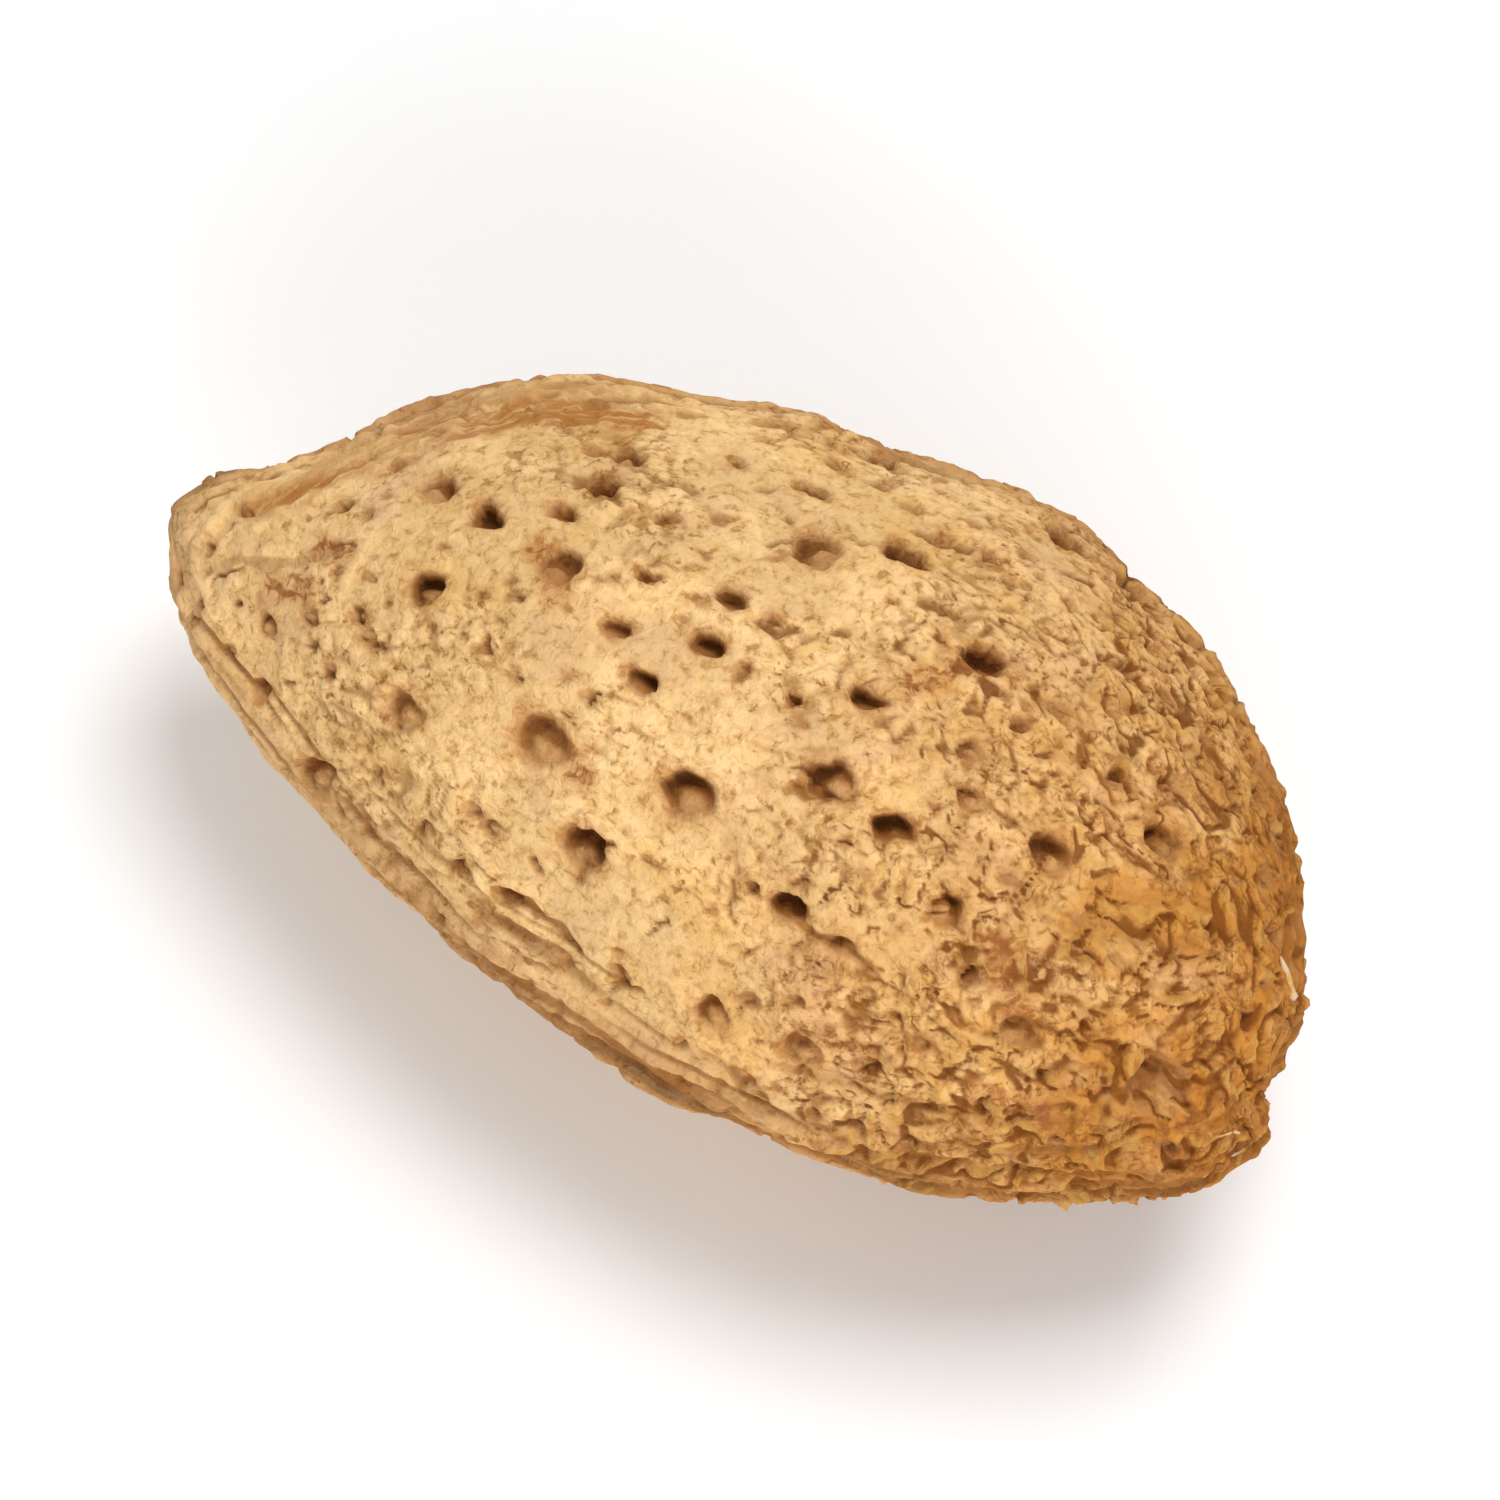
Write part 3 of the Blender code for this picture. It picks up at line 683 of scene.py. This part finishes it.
def place_small_pits(pits):
    """(centre, normal, radius) of the small pits, at random, clear of the others and of the spot."""
    draw = random.Random(SEED + 2)
    centres = [centre for centre, _, _ in pits]
    radii = [radius for _, _, radius in pits]
    directions = []
    while len(directions) < SMALL_PIT_COUNT:
        direction, ring = random_direction(draw)
        radius = draw.uniform(*SMALL_PIT_RADII)
        chance = draw.random()
        centre = smooth_nut(direction[None])[0]
        gaps = np.linalg.norm(np.array(centres) - centre, axis=1) / (np.array(radii) + radius)
        near_spot = spot_distance(centre[None])[0] < SPOT_CLEARANCE
        if chance > ring or gaps.min() < SMALL_PIT_SPACING or near_spot:
            continue
        directions.append(direction)
        radii.append(radius)
        centres.append(centre)
    normals = smooth_normals(np.array(directions))
    return list(zip(centres[len(pits):], normals, radii[len(pits):]))


def pit_traits():
    """(fill, slant, stretch, turn, corners, corner share, corner turn) of every pit, the small ones too."""
    draw = random.Random(SEED + 1)
    for index in range(PIT_COUNT + SMALL_PIT_COUNT):
        slant = draw.uniform(-PIT_SLANT, PIT_SLANT)
        stretch = draw.uniform(1, PIT_STRETCH)
        turn = draw.uniform(-math.pi, math.pi)
        fill = draw.uniform(0, 1)
        seen = index < len(SEEN_PITS)
        if seen:
            fill = SEEN_PITS[index][3]
            round_share = min(1, fill / OPEN_FILL)
            stretch = SEEN_OPEN_STRETCH + (SEEN_FILLED_STRETCH - SEEN_OPEN_STRETCH) * round_share
            slant *= SEEN_SLANT_SHARE
            turn *= SEEN_PIT_TURN / math.pi
        corners = draw.choice(PIT_CORNERS)
        corner_share = draw.uniform(0, PIT_CORNER_SHARE)
        if seen:
            corners = min(corners, SEEN_MOST_CORNERS)
            corner_share *= SEEN_CORNER_SHARE
        yield fill, slant, stretch, turn, corners, corner_share, draw.uniform(0, 2 * math.pi)


def dig_pits(points, marks):
    """The depth of the pits, steep-walled and ragged. It marks each pit's depth, hollow and stain."""
    picture_up = view_axes()[1]
    height = np.zeros(len(points))
    ragged = 1 + PIT_RAGGED * noise_at(points, RAGGED_SIZE, 6)
    bent = np.zeros((len(points), 2))
    for index, (size, share) in enumerate(PIT_BENT):
        bent[:, 0] += share * noise_at(points, size, 22 + index)
        bent[:, 1] += share * noise_at(points, size, 24 + index)
    pits = place_pits()
    for (centre, normal, radius), traits in zip(pits + place_small_pits(pits), pit_traits()):
        fill, slant, stretch, turn, corners, corner_share, corner_turn = traits
        lengthwise = np.cross([math.sin(slant), -math.cos(slant), 0], normal)
        lengthwise /= np.linalg.norm(lengthwise)
        sideways = np.cross(normal, lengthwise)
        near = np.flatnonzero(np.linalg.norm(points - centre, axis=1) < PIT_REACH * PIT_STRETCH * radius)
        offset = points[near] - centre
        u = (offset @ lengthwise + bent[near, 0]) / (radius * stretch)
        v = (offset @ sideways + bent[near, 1]) / radius
        away = np.hypot(u, v) * ragged[near]
        corner_share *= min(1, PIT_ROUND / radius)
        away *= 1 + corner_share * np.cos(corners * np.arctan2(v, u) + corner_turn)
        deep_side = math.atan2(picture_up @ sideways, picture_up @ lengthwise) + turn
        deep_u, deep_v = math.cos(deep_side), math.sin(deep_side)
        lean = 1 + PIT_LEAN * (u * deep_u + v * deep_v)
        off_plug = np.hypot(u + PLUG_SHIFT * deep_u, v + PLUG_SHIFT * deep_v) * ragged[near]
        plug = 1 - PLUG_RISE * min(1, PLUG_GROWS * fill) * (1 - smooth_step(*PLUG_WALL, off_plug))
        depth = min(PIT_DEPTH_SHARE * radius, PIT_DEEPEST) * (1 - FILLED_LOSS * fill)
        hollow = -depth * (1 - smooth_step(*PIT_WALL, away)) * lean * plug
        height[near] = np.minimum(height[near], hollow)
        stain = 1 - smooth_step(*STAIN_REACH, away)
        marks["stain"][near] = np.maximum(marks["stain"][near], stain)
        marks["hollow"][near] = np.maximum(marks["hollow"][near], 1 - smooth_step(*HOLLOW_EDGE, away))
    # The depth of each pit, which the material paints as shade: the deeper, the darker.
    marks["pit"] = np.clip(-height / PIT_DEEPEST, 0, 1)
    return height


def relief(points, normals):
    """(height, marks): how far each point of the smooth nut is raised, and what its material reads there."""
    above = seam_distance(points)
    away, side = from_edge(points, above)
    marks = {"stain": np.zeros(len(points)), "hollow": np.zeros(len(points))}
    cork = flakes(points)
    lines = furrows(points, above)
    rough = roughness(points)
    bent = swirled(points)
    crumb, crease = crumbs(bent)
    curled = curls(bent)
    cracked = cracks(points)
    cracked = np.maximum(cracked, seen_lines(points, normals, SEEN_CRACKS, CRACK_HALF_WIDTH))
    creased = seen_lines(points, normals, SEEN_CREASES, CREASE_HALF_WIDTH)
    strands = seen_lines(points, normals, SEEN_STRANDS, STRAND_HALF_WIDTH)
    fibre = fibres(points, away, side)
    dug = dig_pits(points, marks)
    height = swellings(points) + keel(points, above) + lines + FIBRE_HEIGHT * fibre
    height += STRAND_HEIGHT * strands - CREASE_DEPTH * creased - CRACK_DEPTH * cracked
    ends = stem_scar(points) + torn_end(points)
    height += ends + FLAKE_HEIGHT * cork + rough * crumb + CURL_HEIGHT * curled + dug
    marks["cork"] = cork
    # The creases between crumbs, which the material paints as shade
    marks["crease"] = crease * rough
    marks["rough"] = rough
    marks["crack"] = cracked
    marks["fibre"] = -fibre
    marks["furrow"] = np.maximum(-lines / FURROW_DEPTH, CREASE_BROWN * creased)
    marks["strand"] = strands
    browned = seam_shown(points)
    marks["seam"] = browned * np.exp(-((above / SEAM_BROWN_SPREAD) ** 2))
    marks["edge"] = 1 - smooth_step(0, EDGE_REACH, away)
    marks["band"] = seen_lines(points, normals, SEEN_BAND, BAND_HALF_WIDTH)
    marks["groove"] = browned * np.exp(-((above / GROOVE_BROWN_SPREAD) ** 2))
    marks["smear"] = seen_lines(points, normals, SEEN_STAINS, STAIN_HALF_WIDTH)
    marks["end"] = end_share(points)
    # The torn edges' relief, which the material paints as highlight on the lips and shade in the grooves
    marks["curl"] = curled
    return height * smooth_step(*SPOT_RIM, spot_distance(points)), marks


def fit_to_box(points):
    """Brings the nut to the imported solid's box. What the resting spot takes off is pressed flat."""
    low, high = points.min(axis=0), points.max(axis=0)
    size = np.array([LENGTH, WIDTH, THICKNESS + SPOT_DEPTH])
    points = (points - (low + high) / 2) * size / (high - low)
    points += (LOW + HIGH) / 2 - [0, 0, SPOT_DEPTH / 2]
    points[:, 2] = np.maximum(points[:, 2], LOW[2])
    return points


def fine_nut(name):
    """The whole nut as one fine closed mesh, with the marks as its attributes."""
    ball = bmesh.new()
    bmesh.ops.create_icosphere(ball, subdivisions=BALL_SUBDIVISIONS, radius=1)
    mesh = bpy.data.meshes.new(name)
    ball.to_mesh(mesh)
    ball.free()
    directions = np.empty(len(mesh.vertices) * 3, np.float32)
    mesh.vertices.foreach_get("co", directions)
    directions = directions.reshape(-1, 3).astype(float)
    directions /= np.linalg.norm(directions, axis=1, keepdims=True)
    points = smooth_nut(directions)
    normals = smooth_normals(directions)
    height, marks = relief(points, normals)
    points = fit_to_box(points + normals * height[:, None])
    mesh.vertices.foreach_set("co", points.astype(np.float32).ravel())
    for mark, values in marks.items():
        mesh.attributes.new(mark, "FLOAT", "POINT").data.foreach_set("value", values.astype(np.float32))
    mesh.shade_smooth()
    nut = bpy.data.objects.new(name, mesh)
    bpy.context.scene.collection.objects.link(nut)
    thin_out(nut)
    return nut


def thin_out(nut):
    """Fewer triangles, most of them where the surface bends most."""
    fewer = nut.modifiers.new("fewer triangles", "DECIMATE")
    fewer.ratio = TRIANGLES / len(nut.data.polygons)
    graph = bpy.context.evaluated_depsgraph_get()
    mesh = bpy.data.meshes.new_from_object(nut.evaluated_get(graph))
    nut.modifiers.clear()
    nut.data = mesh


class Painter:
    """A material's nodes, made one call at a time. Such a call returns the socket that its node gives."""

    def __init__(self, name):
        self.material = bpy.data.materials.new(name)
        self.material.use_nodes = True
        self.nodes = self.material.node_tree.nodes
        self.links = self.material.node_tree.links
        self.shader = self.nodes["Principled BSDF"]
        self.place = self.nodes.new("ShaderNodeTexCoord").outputs["Object"]
        self.colour = None

    def give(self, socket, value):
        if isinstance(value, bpy.types.NodeSocket):
            self.links.new(value, socket)
        elif isinstance(value, tuple) and len(value) == 3 and socket.type == "RGBA":
            socket.default_value = (*value, 1)
        else:
            socket.default_value = value

    def mark(self, name):
        node = self.nodes.new("ShaderNodeAttribute")
        node.attribute_name = name
        return node.outputs["Fac"]

    def noise(self, size, detail=4.0, rough=0.6, stretch=None, distortion=0.0):
        """Noise whose bumps are about size across, drawn out by stretch along each axis."""
        place = self.place
        if stretch:
            node = self.nodes.new("ShaderNodeMapping")
            self.give(node.inputs["Vector"], place)
            node.inputs["Scale"].default_value = [1 / share for share in stretch]
            place = node.outputs["Vector"]
        node = self.nodes.new("ShaderNodeTexNoise")
        self.give(node.inputs["Vector"], place)
        node.inputs["Scale"].default_value = 1 / size
        node.inputs["Detail"].default_value = detail
        node.inputs["Roughness"].default_value = rough
        node.inputs["Distortion"].default_value = distortion
        return node.outputs["Fac"]

    def math(self, operation, first, second=0.0):
        node = self.nodes.new("ShaderNodeMath")
        node.operation = operation
        self.give(node.inputs[0], first)
        self.give(node.inputs[1], second)
        return node.outputs["Value"]

    def times(self, first, second):
        return self.math("MULTIPLY", first, second)

    def band(self, value, low, high, to_low=0.0, to_high=1.0):
        """value between low and high, brought to between to_low and to_high and held there."""
        node = self.nodes.new("ShaderNodeMapRange")
        node.interpolation_type = "SMOOTHSTEP"
        self.give(node.inputs["Value"], value)
        self.give(node.inputs["From Min"], low)
        self.give(node.inputs["From Max"], high)
        self.give(node.inputs["To Min"], to_low)
        self.give(node.inputs["To Max"], to_high)
        return node.outputs["Result"]

    def mix(self, share, first, second, blend="MIX"):
        node = self.nodes.new("ShaderNodeMix")
        node.data_type = "RGBA"
        node.blend_type = blend
        self.give(node.inputs["Factor"], share)
        self.give(node.inputs[6], first)
        self.give(node.inputs[7], second)
        return node.outputs[2]

    def coat(self, share, colour, blend="MIX"):
        """Lays the colour over self.colour, by share."""
        self.colour = self.mix(share, self.colour, colour, blend)

    def bump(self, height, distance, strength, normal=None):
        node = self.nodes.new("ShaderNodeBump")
        node.inputs["Distance"].default_value = distance
        node.inputs["Strength"].default_value = strength
        self.give(node.inputs["Height"], height)
        if normal:
            self.give(node.inputs["Normal"], normal)
        return node.outputs["Normal"]


def coat_cork(paint, speckle):
    """Pinkish and golden patches, dark specks, pores, painted shade in the creases, and browner cork beside
    the seam.
    """
    patch = paint.noise(*PATCHES)
    paint.coat(paint.band(patch, 0.50, 0.68, 0, PATCH_SHARE), PINK)
    paint.coat(paint.band(patch, 0.46, 0.32, 0, PATCH_SHARE), HONEY)
    paint.coat(paint.band(speckle, 0.43, 0.31, 0, SPECK_SHARE), OLIVE)
    paint.coat(paint.band(paint.mark("edge"), 0, 1, 0, EDGE_SHARE), EDGE_TAN)
    pores = paint.band(paint.noise(*PORES, distortion=0.35), 0.55, 0.70)
    paint.coat(paint.times(pores, paint.band(paint.mark("rough"), 0, 1, *PORE_SHARES)), UMBER)
    # Painted shade in the creases between crumbs, stronger towards the stem end.
    crease = paint.band(paint.mark("crease"), 0.12, 0.85, 0, CREASE_SHADE_SHARE)
    paint.coat(paint.times(crease, paint.band(paint.mark("end"), 0.1, 0.6, 1, CREASE_SHADE_END_GAIN)), UMBER)
    bare = paint.math("SUBTRACT", 1.0, paint.mark("cork"))
    paint.coat(paint.times(bare, BARE_SHARE), OLIVE)


def coat_end(paint, speckle):
    """The stem end's browns, and the pale rims and dark lines of its torn cork."""
    end = paint.mark("end")
    warm = paint.noise(*WARMTH)
    paint.coat(paint.times(end, paint.band(warm, 0.34, 0.6, 0.6, 1.0)), END_TINT, "MULTIPLY")
    paint.coat(paint.band(end, 0.6, 1, 0, FAR_SHARE), FAR_TINT, "MULTIPLY")
    orange = paint.times(end, paint.band(warm, 0.46, 0.66))
    orange = paint.times(orange, paint.band(speckle, 0.36, 0.6, 1, 0.45))
    paint.coat(paint.times(orange, end), ORANGE)
    swirl = paint.noise(*TORN_SWIRL, distortion=1.3)
    torn = paint.band(paint.noise(*TORN_PATCHES), 0.42, 0.58)
    torn = paint.times(torn, paint.band(speckle, 0.34, 0.56, 1, 0.45))
    torn = paint.times(torn, paint.band(end, 0.02, 0.5, 0.12, 1))
    for level, reach, share, colour in TORN_LINES:
        line = paint.band(paint.math("ABSOLUTE", paint.math("SUBTRACT", swirl, level)), reach, 0.005)
        paint.coat(paint.times(paint.times(line, torn), share), colour)


def coat_seam(paint):
    """Fibres beside the seam, its streaks of rust, the pale strands, its groove, and the furrows."""
    paint.coat(paint.band(paint.mark("fibre"), 0.05, 0.7, 0, FIBRE_SHARE), UMBER)
    streak = paint.noise(*STREAKS, stretch=STREAK_STRETCH)
    brown = paint.math("MAXIMUM", paint.times(paint.mark("seam"), SEAM_SHARE), paint.mark("band"))
    seam = paint.times(brown, paint.band(streak, 0.38, 0.56, 0.25, 1))
    paint.coat(paint.times(seam, RUST_SHARE), RUST)
    paint.coat(paint.times(paint.mark("strand"), STRAND_SHARE), CREAM)
    paint.coat(paint.times(paint.mark("groove"), GROOVE_SHARE), DARK)
    paint.coat(paint.band(paint.mark("furrow"), 0.15, 0.9, 0, FURROW_SHARE), UMBER)


def coat_stains_and_shade(paint, speckle):
    """Smears of rust, rust round the pits, cracks, the brown inside pits, painted shade and highlight on the
    torn edges, and painted shade in the pits.
    """
    smear = paint.times(paint.mark("smear"), paint.band(speckle, 0.36, 0.6, 1, 0.5))
    paint.coat(paint.times(smear, SMEAR_SHARE), RUST)
    paint.coat(paint.band(smear, 0.45, 1, 0, SMEAR_CORE_SHARE), RUSSET)
    stain = paint.times(paint.mark("stain"), paint.band(speckle, 0.34, 0.62, 0.9, 0.35))
    paint.coat(paint.times(stain, STAIN_SHARE), RUST)
    paint.coat(paint.times(paint.mark("crack"), CRACK_SHARE), UMBER)
    paint.coat(paint.times(paint.mark("hollow"), HOLLOW_SHARE), HOLLOW)
    # Painted light on the torn edges: a paler painted highlight along each lip and painted shade in each
    # groove.
    curl = paint.mark("curl")
    paint.coat(paint.band(curl, 0.15, 0.6, 0, CURL_LIP_HIGHLIGHT_SHARE), AMBER)
    paint.coat(paint.band(curl, -0.10, -0.70, 0, CURL_GROOVE_SHADE_SHARE), CHESTNUT)
    # Painted shade in the pits: umber, then near black, the deeper the pit.
    pit_shade = paint.math("ADD", paint.mark("pit"), paint.band(speckle, 0.3, 0.7, -0.12, 0.12))
    paint.coat(paint.band(pit_shade, 0.22, 0.55, 0, PIT_SHADE_SHARE), UMBER)
    paint.coat(paint.band(pit_shade, 0.55, 0.9, 0, PIT_SHADE_SHARE), DARK)


def shell_material():
    """Dry cork: cream to tan with painted shade in its creases, rust towards the stem end, painted shade in
    the pits, and a dark seam.
    """
    paint = Painter("shell")
    speckle = paint.noise(*SPECKLE, distortion=0.6)
    paint.colour = paint.mix(paint.band(speckle, 0.38, 0.60), TAN, CREAM)
    coat_cork(paint, speckle)
    coat_end(paint, speckle)
    coat_seam(paint)
    coat_stains_and_shade(paint, speckle)
    paint.give(paint.shader.inputs["Base Color"], paint.colour)
    paint.give(paint.shader.inputs["Roughness"], paint.band(speckle, 0.3, 0.7, *SHELL_ROUGHNESS))
    paint.shader.inputs["Specular IOR Level"].default_value = SHELL_SPECULAR
    coarse = paint.bump(speckle, *COARSE_BUMP)
    fine = paint.bump(paint.noise(*GRAIN), *GRAIN_BUMP, coarse)
    paint.give(paint.shader.inputs["Normal"], fine)
    return paint.material


def fibre_material():
    paint = Painter("fibres")
    speckle = paint.noise(*FRAY_SPECKLE)
    paint.give(paint.shader.inputs["Base Color"], paint.mix(paint.band(speckle, 0.40, 0.62), AMBER, STRAW))
    paint.shader.inputs["Roughness"].default_value = FRAY_ROUGHNESS
    paint.give(paint.shader.inputs["Normal"], paint.bump(speckle, *FRAY_BUMP))
    return paint.material


def floor_material():
    paint = Painter("floor")
    paint.give(paint.shader.inputs["Base Color"], FLOOR)
    paint.shader.inputs["Roughness"].default_value = FLOOR_ROUGHNESS
    return paint.material


def dress_nut():
    nut = fine_nut("almond_shell")
    nut.data.materials.append(shell_material())
    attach(nut, "root")
    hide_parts("almond")
    return nut


def fibre_path(nut, start, heading, length, lift, draw):
    """Points along the nut's surface from start, which leave it by lift at the far end."""
    places = []
    place = start
    for step in range(FRAY_STEPS + 1):
        share = step / FRAY_STEPS
        _, ground, normal, _ = nut.closest_point_on_mesh(place)
        places.append(ground + normal * (lift * share**2 - FRAY_RADIUS[1] * (1 - share)))
        heading = (heading - heading.dot(normal) * normal).normalized()
        heading = Matrix.Rotation(draw.uniform(-FRAY_CURL, FRAY_CURL), 3, normal) @ heading
        place = ground + heading * length / FRAY_STEPS
    for _ in range(2):
        between = [(a + 2 * b + c) / 4 for a, b, c in zip(places, places[1:], places[2:])]
        places = [places[0], *between, places[-1]]
    return places


def add_tube(mesh, places, radius):
    """A closed tube through the places that tapers to its far end."""
    rings = []
    for index, place in enumerate(places):
        along = (places[min(index + 1, len(places) - 1)] - places[max(index - 1, 0)]).normalized()
        if rings:
            side = (side - side.dot(along) * along).normalized()
        else:
            side = along.orthogonal().normalized()
        share = index / (len(places) - 1)
        size = radius * (1 - FRAY_TAPER * share**2)
        ring = []
        for corner in range(FRAY_SIDES):
            angle = 2 * math.pi * corner / FRAY_SIDES
            outward = math.cos(angle) * side + math.sin(angle) * along.cross(side)
            ring.append(mesh.verts.new(place + size * outward))
        rings.append(ring)
    for first, second in zip(rings, rings[1:]):
        for corner in range(FRAY_SIDES):
            after = (corner + 1) % FRAY_SIDES
            mesh.faces.new((first[corner], first[after], second[after], second[corner]))
    mesh.faces.new(rings[0][::-1])
    mesh.faces.new(rings[-1])


def fray_stem(nut):
    """A few frayed fibres round the stem scar, as one piece."""
    draw = random.Random(SEED + 3)
    fibres_mesh = bmesh.new()
    middle = Vector((LOW + HIGH) / 2)
    scar = middle + Vector(SCAR_PLACE)
    for _ in range(FRAY_COUNT):
        angle = draw.uniform(0, 2 * math.pi)
        outward = Vector((0, math.cos(angle), math.sin(angle)))
        start = scar + outward * SCAR_RADIUS * draw.uniform(*FRAY_PLACE)
        heading = outward * draw.choice((-1, 1))
        heading += Vector([draw.uniform(-FRAY_STRAY, FRAY_STRAY) for _ in range(3)])
        length, lift = draw.uniform(*FRAY_LENGTH), draw.uniform(*FRAY_LIFT)
        places = fibre_path(nut, start, heading, length, lift, draw)
        add_tube(fibres_mesh, places, draw.uniform(*FRAY_RADIUS))
    start, end = (middle + Vector(point) for point in smooth_nut(np.array(seen_directions(SEEN_FRAY))))
    places = fibre_path(nut, start, end - start, (end - start).length, SEEN_FRAY_LIFT, draw)
    add_tube(fibres_mesh, places, SEEN_FRAY_RADIUS)
    mesh = bpy.data.meshes.new("stem_fibres")
    fibres_mesh.to_mesh(mesh)
    fibres_mesh.free()
    mesh.shade_smooth()
    mesh.materials.append(fibre_material())
    fibres_piece = bpy.data.objects.new("stem_fibres", mesh)
    bpy.context.scene.collection.objects.link(fibres_piece)
    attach(fibres_piece, "root")


def lay_floor():
    mesh = bpy.data.meshes.new("floor")
    corners = [(x * FLOOR_HALF, y * FLOOR_HALF, LOW[2]) for x, y in ((-1, -1), (1, -1), (1, 1), (-1, 1))]
    mesh.from_pydata(corners, [], [(0, 1, 2, 3)])
    mesh.materials.append(floor_material())
    floor = bpy.data.objects.new("floor", mesh)
    bpy.context.scene.collection.objects.link(floor)


def looking(place, target, up):
    """The rotation of a camera or light at place that looks at target, with up towards the picture's top."""
    back = (place - target).normalized()
    right = up.cross(back).normalized()
    return Matrix((right, back.cross(right), back)).transposed().to_4x4()


def add_camera(middle):
    right, up, to_viewer = (Vector(axis) for axis in view_axes())
    data = bpy.data.cameras.new("camera")
    data.lens = LENS
    data.sensor_width = SENSOR
    distance = SHOWN_WIDTH * LENS / SENSOR
    data.clip_start = distance / CLIP_FACTOR
    data.clip_end = distance * CLIP_FACTOR
    place = middle + to_viewer * distance
    camera = bpy.data.objects.new("camera", data)
    camera.matrix_world = Matrix.Translation(place) @ looking(place, middle, up)
    bpy.context.scene.collection.objects.link(camera)
    bpy.context.scene.camera = camera


def add_light(name, middle, towards, size, watts):
    """A square soft light. towards is given along the camera's right, up and back."""
    right, up, to_viewer = (Vector(axis) for axis in view_axes())
    direction = (right * towards[0] + up * towards[1] + to_viewer * towards[2]).normalized()
    data = bpy.data.lights.new(name, "AREA")
    data.size = size
    data.energy = watts
    place = middle + direction * LIGHT_DISTANCE
    light = bpy.data.objects.new(name, data)
    light.matrix_world = Matrix.Translation(place) @ looking(place, middle, up)
    bpy.context.scene.collection.objects.link(light)


def light_room():
    world = bpy.data.worlds.new("room")
    world.use_nodes = True
    background = world.node_tree.nodes["Background"]
    background.inputs["Color"].default_value = (1, 1, 1, 1)
    background.inputs["Strength"].default_value = ROOM_STRENGTH
    bpy.context.scene.world = world
    bpy.context.scene.view_settings.view_transform = "Standard"


def main():
    fray_stem(dress_nut())
    lay_floor()
    middle = Vector((LOW + HIGH) / 2)
    add_camera(middle)
    add_light("key", middle, KEY, KEY_SIZE, KEY_WATTS)
    add_light("fill", middle, FILL, FILL_SIZE, FILL_WATTS)
    light_room()


main()
